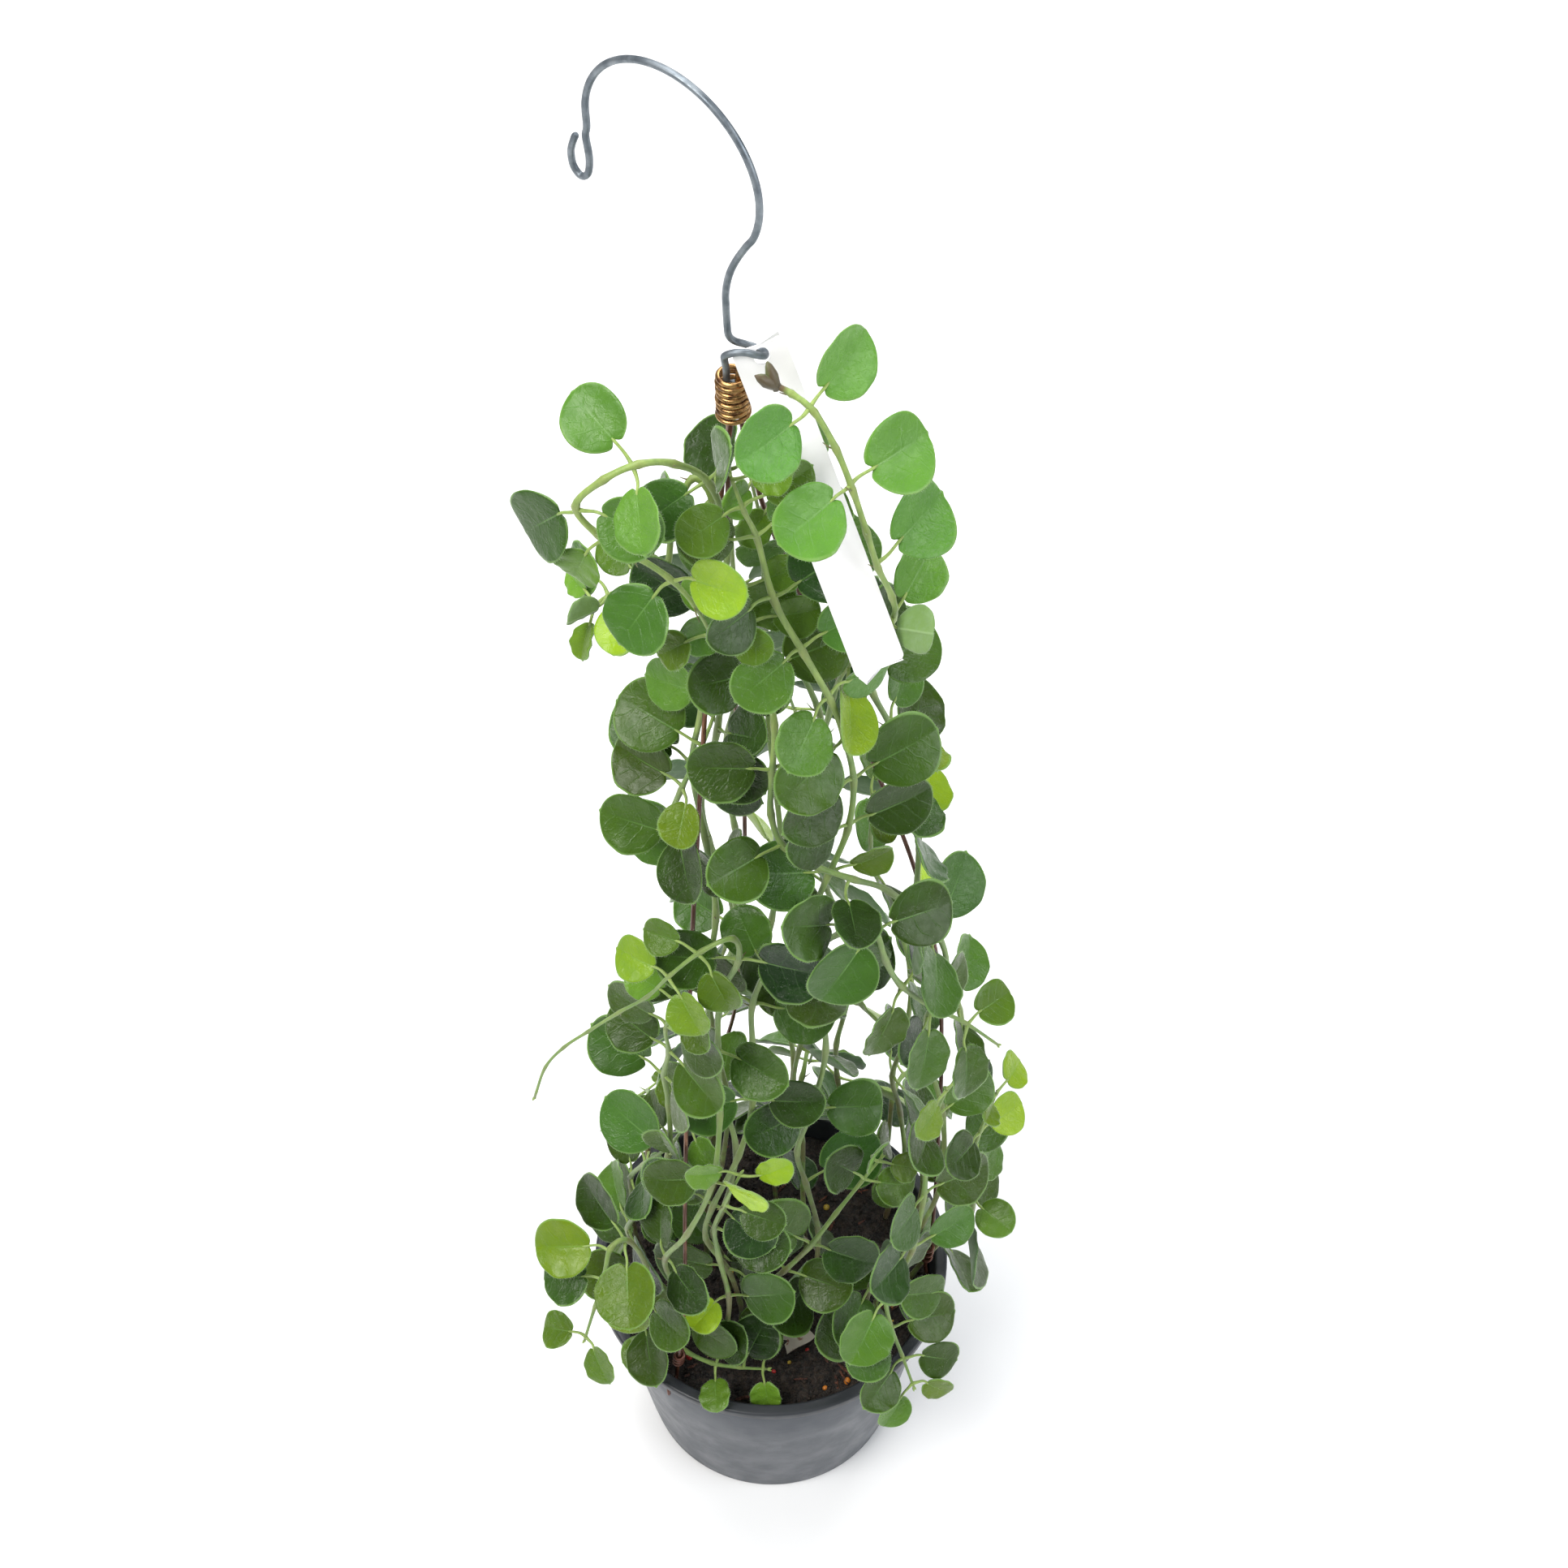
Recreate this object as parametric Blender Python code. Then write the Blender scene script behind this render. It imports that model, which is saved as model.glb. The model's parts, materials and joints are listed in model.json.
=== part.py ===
# Potted hoya in a wire hanger: a nursery pot of soil, three hanger wires brought together at a wound neck,
# a hook, a blank label and the leafy vines that climb the wires. Metres, +Z up, origin at the middle of the
# pot's underside; the side that is mostly seen faces -Y.

import math
import random

import bmesh
import bpy
import numpy as np
from mathutils import Vector
from mathutils.bvhtree import BVHTree

MM = 0.001

# Pot
RIM_RADIUS = 0.060
POT_HEIGHT = 0.090
BASE_RADIUS = 0.044
WALL = 0.0012
POT_FLOOR = 0.0016
LIP_HEIGHT = 0.0034
LIP_OUT = 0.0034
POT_SIDES = 32
DRAIN_HOLES = 6
DRAIN_RADIUS = 0.0035
DRAIN_RING = 0.034

# Soil
SOIL_TOP = 0.080
SOIL_ROUGHNESS = 0.0009
SOIL_RINGS = 2
STEM_HOLE_DEPTH = 0.009
STEM_HOLE_CLEARANCE = 0.0004
GAP = 0.0003

# Hanger wires, neck coil and hook
WIRE_RADIUS = 0.00065
WIRE_HOLE_RADIUS = 0.0013
WIRE_HOLE_HEIGHT = 0.0838
WIRE_ANGLES = {"left": 234.0, "right": -6.0, "back": 114.0}
NECK = Vector((-0.0075, 0.0, 0.0))
COIL_RADIUS = 0.0037
COIL_PITCH = 0.00175
COIL_TURNS = 8
COIL_BOTTOM = 0.4985
COIL_TOP = COIL_BOTTOM + COIL_PITCH * COIL_TURNS
HOOK_WIRE_RADIUS = 0.0009
HOOK_YAW = 39.0
HOOK_BEND_RADIUS = 0.0252
HOOK_BEND_CENTRE = (0.0166, 0.5673)

# Label
LABEL_THICKNESS = 0.0006
LABEL_WIDTH = 0.0128
LABEL_CORNER = 0.0009
LABEL_HOLE_RADIUS = 0.0020

# Vines
STEM_RADIUS = 0.00095
STEM_SIDES = 3
PETIOLE_HALF = 0.00032
PETIOLE_LENGTH = 0.0050
ROOT_OFFSET = 0.0013
BLADE_THICKNESS = 0.0012
BLADE_DIP = 0.0004
BLADE_LENGTH = 0.0192
TOP_BLADE_LENGTH = 0.0176
TOP_LEAVES_FROM = 0.430
BLADE_CLEARANCE = 0.0004
YOUNG_SIZE = 0.68
LEAF_SEED = 7
TWINE_RADIUS = 0.0036
TWINE_PERIOD = 0.124
TWINE_FROM = 0.090
TWINE_TO = 0.440
TWINE_TURN = 2.4


def clear_objects():
    """Start from a scene with no objects in it."""
    for obj in list(bpy.data.objects):
        bpy.data.objects.remove(obj, do_unlink=True)


def finish(name, colour, roughness, metallic=0.0):
    """One plain finish for one kind of piece."""
    material = bpy.data.materials.new(name)
    material.use_nodes = True
    shader = material.node_tree.nodes["Principled BSDF"]
    shader.inputs["Base Color"].default_value = (*colour, 1.0)
    shader.inputs["Roughness"].default_value = roughness
    shader.inputs["Metallic"].default_value = metallic
    return material


def piece(name, vertices, faces, material=None, smooth=True):
    """A mesh object from vertices and faces that already close up."""
    mesh = bpy.data.meshes.new(name)
    mesh.from_pydata([tuple(v) for v in vertices], [], faces)
    mesh.validate()
    if smooth:
        mesh.shade_smooth()
        mesh.set_sharp_from_angle(angle=math.radians(35))
    obj = bpy.data.objects.new(name, mesh)
    bpy.context.scene.collection.objects.link(obj)
    if material:
        mesh.materials.append(material)
    return obj


def turned(profile, sides):
    """Vertices and faces of a solid turned round Z; the profile starts and ends on the axis."""
    rings = profile[1:-1]
    vertices = [(0.0, 0.0, profile[0][1])]
    for radius, height in rings:
        for k in range(sides):
            angle = 2 * math.pi * k / sides
            vertices.append((radius * math.cos(angle), radius * math.sin(angle), height))
    vertices.append((0.0, 0.0, profile[-1][1]))
    faces = []
    for k in range(sides):
        after = (k + 1) % sides
        faces.append((0, 1 + after, 1 + k))
        for row in range(len(rings) - 1):
            low = 1 + row * sides
            faces.append((low + k, low + after, low + sides + after, low + sides + k))
        top = 1 + (len(rings) - 1) * sides
        faces.append((top + k, top + after, len(vertices) - 1))
    return vertices, faces


def tube(points, radius, sides):
    """Vertices and faces of a round wire or stem along points, closed at both ends."""
    points = [Vector(p) for p in points]
    vertices = []
    normal = None
    for i, point in enumerate(points):
        before = points[max(i - 1, 0)]
        after = points[min(i + 1, len(points) - 1)]
        tangent = (after - before).normalized()
        if normal is None:
            normal = tangent.orthogonal()
        normal = (normal - tangent * normal.dot(tangent)).normalized()
        side = tangent.cross(normal)
        r = radius[i] if isinstance(radius, (list, tuple)) else radius
        for k in range(sides):
            angle = 2 * math.pi * k / sides
            vertices.append(point + (normal * math.cos(angle) + side * math.sin(angle)) * r)
    faces = [tuple(reversed(range(sides)))]
    for i in range(len(points) - 1):
        for k in range(sides):
            after = (k + 1) % sides
            low = i * sides
            faces.append((low + k, low + after, low + sides + after, low + sides + k))
    faces.append(tuple(range(len(vertices) - sides, len(vertices))))
    return vertices, faces


def smooth_route(points, per_span):
    """Points on a smooth curve through the given ones (Catmull-Rom)."""
    points = [Vector(p) for p in points]
    ends = [points[0] * 2 - points[1]] + points + [points[-1] * 2 - points[-2]]
    route = []
    for i in range(1, len(ends) - 2):
        a, b, c, d = ends[i - 1], ends[i], ends[i + 1], ends[i + 2]
        for k in range(per_span):
            t = k / per_span
            route.append(0.5 * (2 * b + (c - a) * t + (2 * a - 5 * b + 4 * c - d) * t * t
                                + (3 * b - 3 * c + d - a) * t ** 3))
    route.append(points[-1])
    return route


def millimetres(points):
    return [Vector(p) * MM for p in points]


def cutter(name, vertices, faces):
    obj = piece(name, vertices, faces, smooth=False)
    obj.hide_render = True
    obj.display_type = "WIRE"
    return obj


def evaluated_mesh(obj):
    graph = bpy.context.evaluated_depsgraph_get()
    return bpy.data.meshes.new_from_object(obj.evaluated_get(graph))


def apply_modifiers(obj):
    """Keep the object's evaluated shape as its own mesh."""
    shape = evaluated_mesh(obj)
    shape.name = obj.name
    obj.modifiers.clear()
    obj.data = shape


def is_closed(mesh):
    """True if each edge has two faces, so that the mesh bounds a solid."""
    solid = bmesh.new()
    solid.from_mesh(mesh)
    closed = all(len(edge.link_faces) == 2 for edge in solid.edges)
    solid.free()
    return closed


def boolean_with(obj, others, operation):
    """Cut from obj, or join to it, all the other objects in one Boolean, then remove them."""
    group = bpy.data.collections.new(obj.name + "_tools")
    bpy.context.scene.collection.children.link(group)
    for other in others:
        bpy.context.scene.collection.objects.unlink(other)
        group.objects.link(other)
    modifier = obj.modifiers.new(operation.title(), "BOOLEAN")
    modifier.operation = operation
    modifier.operand_type = "COLLECTION"
    modifier.collection = group
    modifier.solver = "EXACT"
    if not is_closed(evaluated_mesh(obj)):
        modifier.solver = "MANIFOLD"
    apply_modifiers(obj)
    for other in others:
        bpy.data.objects.remove(other, do_unlink=True)
    bpy.data.collections.remove(group)


def wall_radius(height, inside=False):
    """The pot wall's radius at a height, outside or inside."""
    share = height / (POT_HEIGHT - LIP_HEIGHT)
    outer = BASE_RADIUS + (RIM_RADIUS - LIP_OUT - BASE_RADIUS) * share
    return outer - WALL if inside else outer


def wire_direction(key):
    angle = math.radians(WIRE_ANGLES[key])
    return Vector((math.cos(angle), math.sin(angle), 0.0))


def cylinder_along(start, end, radius, sides=8):
    return tube([start, end], radius, sides)


def make_pot(material):
    """The moulded pot, with a rolled lip, drain holes and three small holes for the wires."""
    top = POT_HEIGHT
    under = top - LIP_HEIGHT
    profile = [
        (0, 0), (BASE_RADIUS - 0.0015, 0), (BASE_RADIUS, 0.0015),
        (wall_radius(under), under), (RIM_RADIUS, under + 0.0004),
        (RIM_RADIUS, top - 0.0007), (RIM_RADIUS - 0.0007, top), (wall_radius(under) + 0.0006, top),
        (wall_radius(top - 0.0012, inside=True), top - 0.0012),
        (wall_radius(0.004, inside=True), 0.004), (wall_radius(0.004, inside=True) - 0.0018, POT_FLOOR),
        (0, POT_FLOOR),
    ]
    pot = piece("pot", *turned(profile, POT_SIDES), material)
    holes = []
    for k in range(DRAIN_HOLES):
        angle = 2 * math.pi * (k + 0.5) / DRAIN_HOLES
        spot = Vector((DRAIN_RING * math.cos(angle), DRAIN_RING * math.sin(angle), 0))
        ends = (spot - Vector((0, 0, 0.001)), spot + Vector((0, 0, 0.003)))
        holes.append(cutter(f"drain_{k}", *cylinder_along(*ends, DRAIN_RADIUS, 8)))
    for key in WIRE_ANGLES:
        way = wire_direction(key)
        spot = way * wall_radius(WIRE_HOLE_HEIGHT) + Vector((0, 0, WIRE_HOLE_HEIGHT))
        holes.append(cutter(f"wire_hole_{key}", *cylinder_along(spot - way * 0.003, spot + way * 0.003,
                                                                WIRE_HOLE_RADIUS)))
    boolean_with(pot, holes, "DIFFERENCE")
    return pot


def soil_height(x, y):
    """The soil's uneven surface, by formula."""
    wave = math.sin(x * 610 + 1.3) * math.cos(y * 540 - 0.4) + 0.6 * math.sin((x - y) * 990)
    return SOIL_TOP + SOIL_ROUGHNESS * wave


def make_soil(material, stems):
    """The soil that fills the pot, with a plain hole for each stem."""
    bottom = POT_FLOOR + GAP
    vertices = [(0.0, 0.0, bottom)]
    ring_radii = [wall_radius(bottom, True) - 0.0024, wall_radius(0.006, True) - GAP,
                  wall_radius(SOIL_TOP - 0.0015, True) - GAP]
    ring_heights = [bottom, 0.006, SOIL_TOP - 0.0015]
    for ring in range(SOIL_RINGS):
        share = 1 - ring / SOIL_RINGS
        ring_radii.append((wall_radius(SOIL_TOP, True) - GAP - 0.0012) * share)
        ring_heights.append(None)
    for radius, height in zip(ring_radii, ring_heights):
        for k in range(POT_SIDES):
            angle = 2 * math.pi * k / POT_SIDES
            x, y = radius * math.cos(angle), radius * math.sin(angle)
            vertices.append((x, y, soil_height(x, y) if height is None else height))
    vertices.append((0.0, 0.0, soil_height(0, 0)))
    _, faces = turned([(0, 0)] + [(1, 1)] * len(ring_radii) + [(0, 2)], POT_SIDES)
    soil = piece("soil", vertices, faces, material)
    triangles = soil.modifiers.new("Triangulate", "TRIANGULATE")
    triangles.min_vertices = 4
    apply_modifiers(soil)
    holes = []
    for name, foot in stems:
        low = Vector((foot.x, foot.y, SOIL_TOP - STEM_HOLE_DEPTH - STEM_HOLE_CLEARANCE))
        high = Vector((foot.x, foot.y, SOIL_TOP + 0.006))
        holes.append(cutter("hole_" + name, *tube([low, high], STEM_RADIUS + STEM_HOLE_CLEARANCE, 6)))
    boolean_with(soil, holes, "DIFFERENCE")
    return soil


# Each wire's way up from the pot to the neck, in millimetres, between its hooked foot and the coil.
WIRE_ROUTES = {
    "left": [(-29, -46, 115), (-27, -44, 150), (-26, -41, 190), (-24, -36, 250), (-21, -30, 320),
             (-17, -23, 390), (-13, -14, 450), (-10, -6, 485)],
    "right": [(54, -3, 115), (54, -1, 160), (53, 0, 215), (50, 0, 265), (42, 0, 312), (31, 0, 355),
              (15, 0, 412), (1, 0, 460), (-4, 0.4, 485)],
    "back": [(-21, 46, 115), (-16, 40, 155), (-11, 33, 195), (-8, 27, 250), (-7, 21, 320), (-9, 14, 378),
             (-10, 8, 430), (-9, 3.6, 480)],
}


def wire_route(key):
    """A hanger wire: its foot through the pot wall, its bowed way up and its end inside the coil."""
    way = wire_direction(key)
    rise = Vector((0, 0, 1))
    height = WIRE_HOLE_HEIGHT
    outer = wall_radius(height) + WIRE_RADIUS + 0.0011
    inner = wall_radius(height, inside=True) - WIRE_RADIUS - 0.0010
    foot = [way * outer + rise * (height - 0.0046), way * outer + rise * (height - 0.0014),
            way * (outer - 0.0012) + rise * height, way * (inner + 0.0012) + rise * height,
            way * inner + rise * (height + 0.0016), way * (inner - 0.0008) + rise * (height + 0.008)]
    ends = {"left": (-0.7, -1.8), "right": (1.9, 0.3), "back": (-1.2, 1.5)}[key]
    inside_coil = NECK + Vector((ends[0] * MM, ends[1] * MM, 0))
    top = [inside_coil + rise * 0.4965, inside_coil + rise * 0.5062]
    return foot[:-1] + smooth_route([foot[-1]] + millimetres(WIRE_ROUTES[key]) + top, 2)


def coil_route():
    """The neck coil: round turns of wire, whose upper end arches over the hook's foot in the coil's mouth."""
    steps = 10
    start = math.radians(90 - HOOK_YAW)
    points = []
    for k in range(COIL_TURNS * steps + 1):
        angle = start + 2 * math.pi * k / steps
        height = COIL_BOTTOM + COIL_PITCH * k / steps
        points.append(NECK + Vector((COIL_RADIUS * math.cos(angle), COIL_RADIUS * math.sin(angle), height)))
    arch = [(2.3, 1.7, 514.4), (2.0, 0.3, 515.5), (1.7, -1.0, 515.3), (1.3, -1.7, 513.6), (1.1, -1.8, 511.6)]
    return points + [NECK + Vector(p) * MM for p in arch]


# The hook's lower end in millimetres: its foot inside the coil, the strand up through the coil's mouth, the ring
# that the label hangs on and the start of the stem.
HOOK_RING = [(-6.6, 0.6, 508.9), (-8.2, -0.4, 509.1), (-8.9, -0.9, 510.8), (-8.95, -1.0, 514.5), (-9.3, -1.7, 518.4),
             (-9.1, -3.0, 520.9), (-6.8, -3.9, 522.7), (-4.2, -3.9, 522.7), (-1.9, -3.1, 521.2), (-0.1, -1.4, 519.2),
             (0.0, 1.0, 518.0), (-1.8, 2.7, 517.7), (-4.6, 3.2, 518.5), (-7.0, 2.5, 520.2), (-8.3, 1.5, 523.0)]


def hook_route():
    """The hook: its foot and ring, then in one upright plane its stem, round bend and the small eye at its end."""
    yaw = math.radians(HOOK_YAW)
    along = Vector((-math.cos(yaw), math.sin(yaw), 0))
    stem = [(1.4, 527.0), (1.6, 532.0), (1.6, 537.0), (0.6, 542.5), (-1.4, 548.0), (-4.4, 554.0)]
    centre_u, centre_z = HOOK_BEND_CENTRE
    bend = []
    for degrees in range(200, -9, -16):
        angle = math.radians(degrees)
        bend.append((centre_u + HOOK_BEND_RADIUS * math.cos(angle),
                     centre_z + HOOK_BEND_RADIUS * math.sin(angle)))
    tip = [(42.0, 560.6), (41.3, 554.5), (42.0, 549.6), (44.2, 547.6), (46.4, 549.4), (46.9, 553.4), (45.9, 557.2),
           (44.9, 559.6)]
    flat = [(u * MM, z * MM) for u, z in stem] + bend + [(u * MM, z * MM) for u, z in tip]
    return millimetres(HOOK_RING) + [NECK + along * u + Vector((0, 0, z)) for u, z in flat]


# The label's middle line from its upper end on the hook's ring down to its free end, in millimetres.
LABEL_ROUTE = [(-1.7, -0.8, 522.2), (-1.4, -1.2, 521.4), (1.5, -4.5, 514.1), (5.2, -8.8, 504.6), (9.6, -13.8, 493.4),
               (14.0, -18.7, 482.0), (18.5, -23.6, 470.2), (23.1, -28.6, 458.1), (27.4, -33.1, 446.6),
               (27.8, -33.5, 445.7)]
LABEL_HOLE_SPOT = (-0.65, -1.90, 519.8)


def label_frame():
    """The label's stations: middle point, width direction and half width."""
    middle = millimetres(LABEL_ROUTE)
    across = Vector((0.93, 0.33, 0.16)).normalized()
    stations = []
    for i, point in enumerate(middle):
        tangent = (middle[min(i + 1, len(middle) - 1)] - middle[max(i - 1, 0)]).normalized()
        width = (across - tangent * across.dot(tangent)).normalized()
        half = LABEL_WIDTH / 2 - (LABEL_CORNER if i in (0, len(middle) - 1) else 0)
        stations.append((point, width, tangent.cross(width).normalized(), half))
    return stations


def make_label(material):
    """The blank strip label, with the hole by which it hangs on the hook's ring."""
    vertices = []
    for point, width, normal, half in label_frame():
        for side, face in ((-1, -0.5), (1, -0.5), (1, 0.5), (-1, 0.5)):
            vertices.append(point + width * half * side + normal * LABEL_THICKNESS * face)
    count = len(LABEL_ROUTE)
    faces = [(0, 1, 2, 3), (4 * count - 1, 4 * count - 2, 4 * count - 3, 4 * count - 4)]
    for i in range(count - 1):
        for k in range(4):
            after = (k + 1) % 4
            low = 4 * i
            faces.append((low + k, low + 4 + k, low + 4 + after, low + after))
    label = piece("label", vertices, faces, material, smooth=False)
    spot = Vector(LABEL_HOLE_SPOT) * MM
    way = label_frame()[1][2] * 0.003
    boolean_with(label, [cutter("label_hole", *tube((spot - way, spot + way), LABEL_HOLE_RADIUS, 12))], "DIFFERENCE")
    return label


# Each vine's joints from the soil to its tip, in millimetres. The letters say which leaves a joint bears, seen
# from outside the plant with the tip upward: l, r, b for both, y for two young ones, and a full stop for none.
VINES = {
    "vine_arc": (
        [(12, 6, 82), (9, 9, 110), (8, 12, 140), (10, 14, 170), (12, 15, 200), (12, 14, 230), (11, 12, 260),
         (10, 10, 290), (8, 8, 320), (8, 4, 348), (11, -1, 375), (16, -6, 396), (22, -10, 414), (27, -15, 431),
         (31, -21, 449), (30, -26, 463), (26.5, -27, 475), (23.7, -26, 486), (20.2, -23, 497.6),
         (16.3, -20, 508), (11.2, -17, 517.1), (6.1, -14, 519.8), (2.4, -13, 521.5)],
        ".b..l.r.l.r.b.b.r.b.b.."),
    "vine_loop": (
        [(-14, -8, 82), (-16, -14, 110), (-15, -19, 140), (-14, -22, 170), (-14, -23, 200), (-16, -24, 230),
         (-17, -23, 260), (-18, -21, 290), (-18, -19, 320), (-18, -18, 350), (-16, -15, 380), (-14, -13, 410),
         (-13, -12, 440), (-12, -13, 468), (-13, -16, 492), (-21, -20, 503), (-29, -23, 506), (-37, -24, 502),
         (-44, -24, 493), (-39, -25, 484), (-31, -25, 477), (-23, -26, 470), (-17, -27, 461), (-13, -26, 448)],
        ".b...l.b..b.b.b.b.by.b.b"),
    "vine_inner_left": (
        [(-22, 4, 82), (-21, 6, 110), (-19, 8, 140), (-16, 9, 170), (-14, 9, 200), (-13, 8, 230), (-13, 7, 260),
         (-14, 6, 290), (-15, 4, 320), (-15, 3, 350), (-15, 2, 380), (-14, 2, 410), (-13, 3, 440), (-13, 5, 462),
         (-18, 6, 470), (-23, 3, 457), (-25, 1, 443), (-31, 0, 437), (-39, 0, 433), (-45, -1, 428)],
        ".b.r...l..b..b.bbbbb"),
    "vine_front": (
        [(-10, -20, 82), (-12, -26, 105), (-15, -31, 130), (-17, -34, 160), (-16, -35, 190), (-12, -34, 218),
         (-8, -33, 240), (-4, -31, 265), (-1, -30, 290), (2, -29, 313), (8, -30, 336), (13, -31, 354),
         (19, -30, 371), (23, -28, 388), (23, -26, 405), (18, -24, 422), (9, -24, 440), (2, -22, 457),
         (-2, -19, 476), (-5, -21, 488), (-8, -20, 499)],
        "..b.b.b.bb.bbbbbbbbbb"),
    "vine_cross": (
        [(36, -8, 82), (44, -13, 108), (50, -16, 138), (52, -13, 166), (51, -10, 195), (50, -8, 225),
         (50, -9, 255), (50, -12, 282), (44, -18, 308), (33, -27, 337), (25, -32, 352), (16, -34, 363),
         (8, -31, 368), (4, -27, 380), (2, -24, 396), (0, -22, 412), (-2, -20, 427), (-4, -18, 443),
         (-6, -17, 458)],
        ".b..r.b.b.brb.b.bbb"),
    "vine_reach": (
        [(16, -14, 82), (14, -18, 110), (12, -20, 140), (12, -22, 170), (12, -24, 200), (12, -25, 230),
         (13, -26, 260), (14, -28, 290), (17, -31, 318), (22, -36, 340), (29, -39, 347), (35, -41, 332),
         (40, -40, 314), (47, -39, 299), (55, -37, 287), (63, -35, 274)],
        ".b.r.b.b.bb.bbb"),
    "vine_right_up": (
        [(46, 12, 82), (50, 10, 110), (53, 8, 140), (56, 6, 170), (57, 5, 200), (56, 5, 230), (52, 5, 258),
         (47, 5, 285), (42, 3, 309), (38, 1, 333), (36, -1, 357), (35, -3, 380), (31, -5, 401), (25, -6, 420),
         (17, -6, 440), (9, -6, 460), (3, -5, 477), (-1, -9, 489)],
        ".br..b.b.bbbbbbbbb"),
    "vine_left_mid": (
        [(-28, 8, 82), (-27, 10, 110), (-24, 11, 140), (-20, 10, 170), (-18, 8, 200), (-16, 5, 230), (-15, 2, 260),
         (-13, -3, 288), (-12, -8, 313), (-15, -12, 333), (-19, -15, 347), (-23, -16, 362), (-22, -16, 378),
         (-20, -15, 394), (-17, -14, 410), (-15, -14, 428)],
        ".b.l.b.b.bbrbbb."),
    "vine_shoot": (
        [(-26, -24, 82), (-31, -31, 106), (-34, -37, 132), (-31, -43, 160), (-22, -45, 188), (-18, -41, 215),
         (-18, -38, 243), (-15, -36, 270), (-10, -33, 298), (-6, -33, 322), (-10, -36, 338), (-18, -38, 335),
         (-25, -40, 326), (-30, -40, 313), (-38, -40, 302), (-48, -40, 289), (-57, -40, 279), (-65, -40, 268),
         (-71, -40, 254)],
        ".b.b.b.b.b.yy......"),
    "vine_left_hang": (
        [(-40, -8, 82), (-43, -11, 108), (-43, -15, 136), (-40, -19, 165), (-35, -23, 195), (-31, -25, 222),
         (-28, -27, 245), (-26, -29, 268), (-29, -31, 286), (-27, -31, 300)],
        ".bb.b.bbbb"),
    "vine_left_rim": (
        [(-38, -22, 82), (-42, -28, 102), (-43, -34, 126), (-43, -38, 150), (-46, -41, 168), (-51, -45, 170),
         (-55, -48, 159), (-59, -50, 147), (-62, -52, 133)],
        ".bb.bbb.b"),
    "vine_left_back": (
        [(-44, 4, 82), (-48, 2, 104), (-47, -1, 125), (-43, -5, 146), (-37, -10, 170), (-31, -14, 192),
         (-28, -16, 208)],
        ".b.bbbb"),
    "vine_front_run": (
        [(-34, -26, 82), (-36, -31, 94), (-34, -36, 100), (-28, -41, 98), (-19, -44, 95), (-10, -45, 94),
         (-1, -45, 93)],
        ".b.bbbb"),
    "vine_front_mid": (
        [(-14, -30, 82), (-15, -34, 105), (-17, -38, 130), (-17, -40, 155), (-14, -42, 180), (-11, -43, 203),
         (-9, -43, 225)],
        ".bb.bbb"),
    "vine_right_front": (
        [(24, -26, 82), (30, -30, 104), (35, -34, 126), (38, -38, 142), (40, -43, 138), (41, -48, 126),
         (43, -53, 114), (46, -58, 104)],
        ".bb.bbbb"),
    "vine_right_climb": (
        [(34, -20, 82), (38, -22, 106), (40, -27, 130), (42, -31, 152), (46, -29, 175), (50, -27, 197),
         (53, -26, 220), (54, -25, 243)],
        ".b.bb.bb"),
    "vine_right_out": (
        [(48, -4, 82), (56, -5, 106), (63, -9, 126), (67, -13, 147), (67, -13, 170), (67, -11, 192),
         (68, -8, 213)],
        ".bbbbbb"),
    "vine_centre_low": (
        [(2, -16, 82), (1, -22, 100), (3, -28, 120), (7, -31, 140), (12, -31, 158), (18, -28, 172),
         (25, -24, 182), (31, -20, 188)],
        ".b.bb.bb"),
    "vine_back_left": (
        [(-18, 34, 82), (-20, 37, 110), (-20, 39, 140), (-18, 38, 170), (-16, 36, 200), (-14, 34, 230),
         (-12, 32, 260), (-11, 30, 290), (-10, 28, 320), (-10, 25, 350), (-10, 22, 380), (-10, 19, 410),
         (-9, 15, 440), (-9, 12, 468)],
        ".b.bb.r.b.bbbb"),
    "vine_back_right": (
        [(22, 34, 82), (24, 36, 110), (25, 37, 140), (24, 36, 170), (22, 34, 200), (21, 33, 230), (19, 31, 260),
         (17, 30, 290), (15, 29, 320), (11, 27, 350), (7, 24, 380), (3, 20, 410), (-1, 15, 440), (-4, 11, 466)],
        ".bb.b.b.b.bbbb"),
    "vine_back_mid": (
        [(2, 22, 82), (3, 25, 110), (4, 27, 140), (4, 27, 170), (3, 26, 200), (2, 25, 230), (1, 24, 260),
         (0, 23, 290), (1, 23, 318), (3, 27, 342), (4, 35, 354), (5, 43, 348), (6, 50, 333), (6, 54, 315)],
        "..b.b..b..bb.b"),
    "vine_back_low": (
        [(4, 44, 82), (5, 47, 104), (7, 52, 120), (9, 58, 126), (11, 64, 119), (12, 68, 106)],
        ".b.b.b"),
    "vine_back_out": (
        [(36, 30, 82), (40, 35, 104), (44, 41, 120), (48, 48, 124), (52, 54, 116), (55, 60, 102)],
        ".b.b.b"),
    "vine_left_out": (
        [(-38, 26, 82), (-41, 32, 104), (-42, 39, 117), (-42, 46, 121), (-42, 53, 114), (-43, 59, 100)],
        ".b.b.b"),
    "vine_right_back": (
        [(40, 20, 82), (43, 22, 110), (44, 23, 140), (43, 22, 170), (42, 21, 200), (40, 20, 230), (38, 20, 258),
         (35, 19, 285), (31, 17, 310), (27, 14, 335)],
        ".b.b.b.b.b"),
}

# How far apart the middle lines of stems, and of stems and what they pass, are kept.
STEM_SPACE = 0.0024
WIRE_SPACE = 0.0022
HOOK_SPACE = 0.0030
LABEL_SPACE = 0.0042
COIL_SPACE = COIL_RADIUS + 0.0022
BEND_ROUNDS = 60


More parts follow.
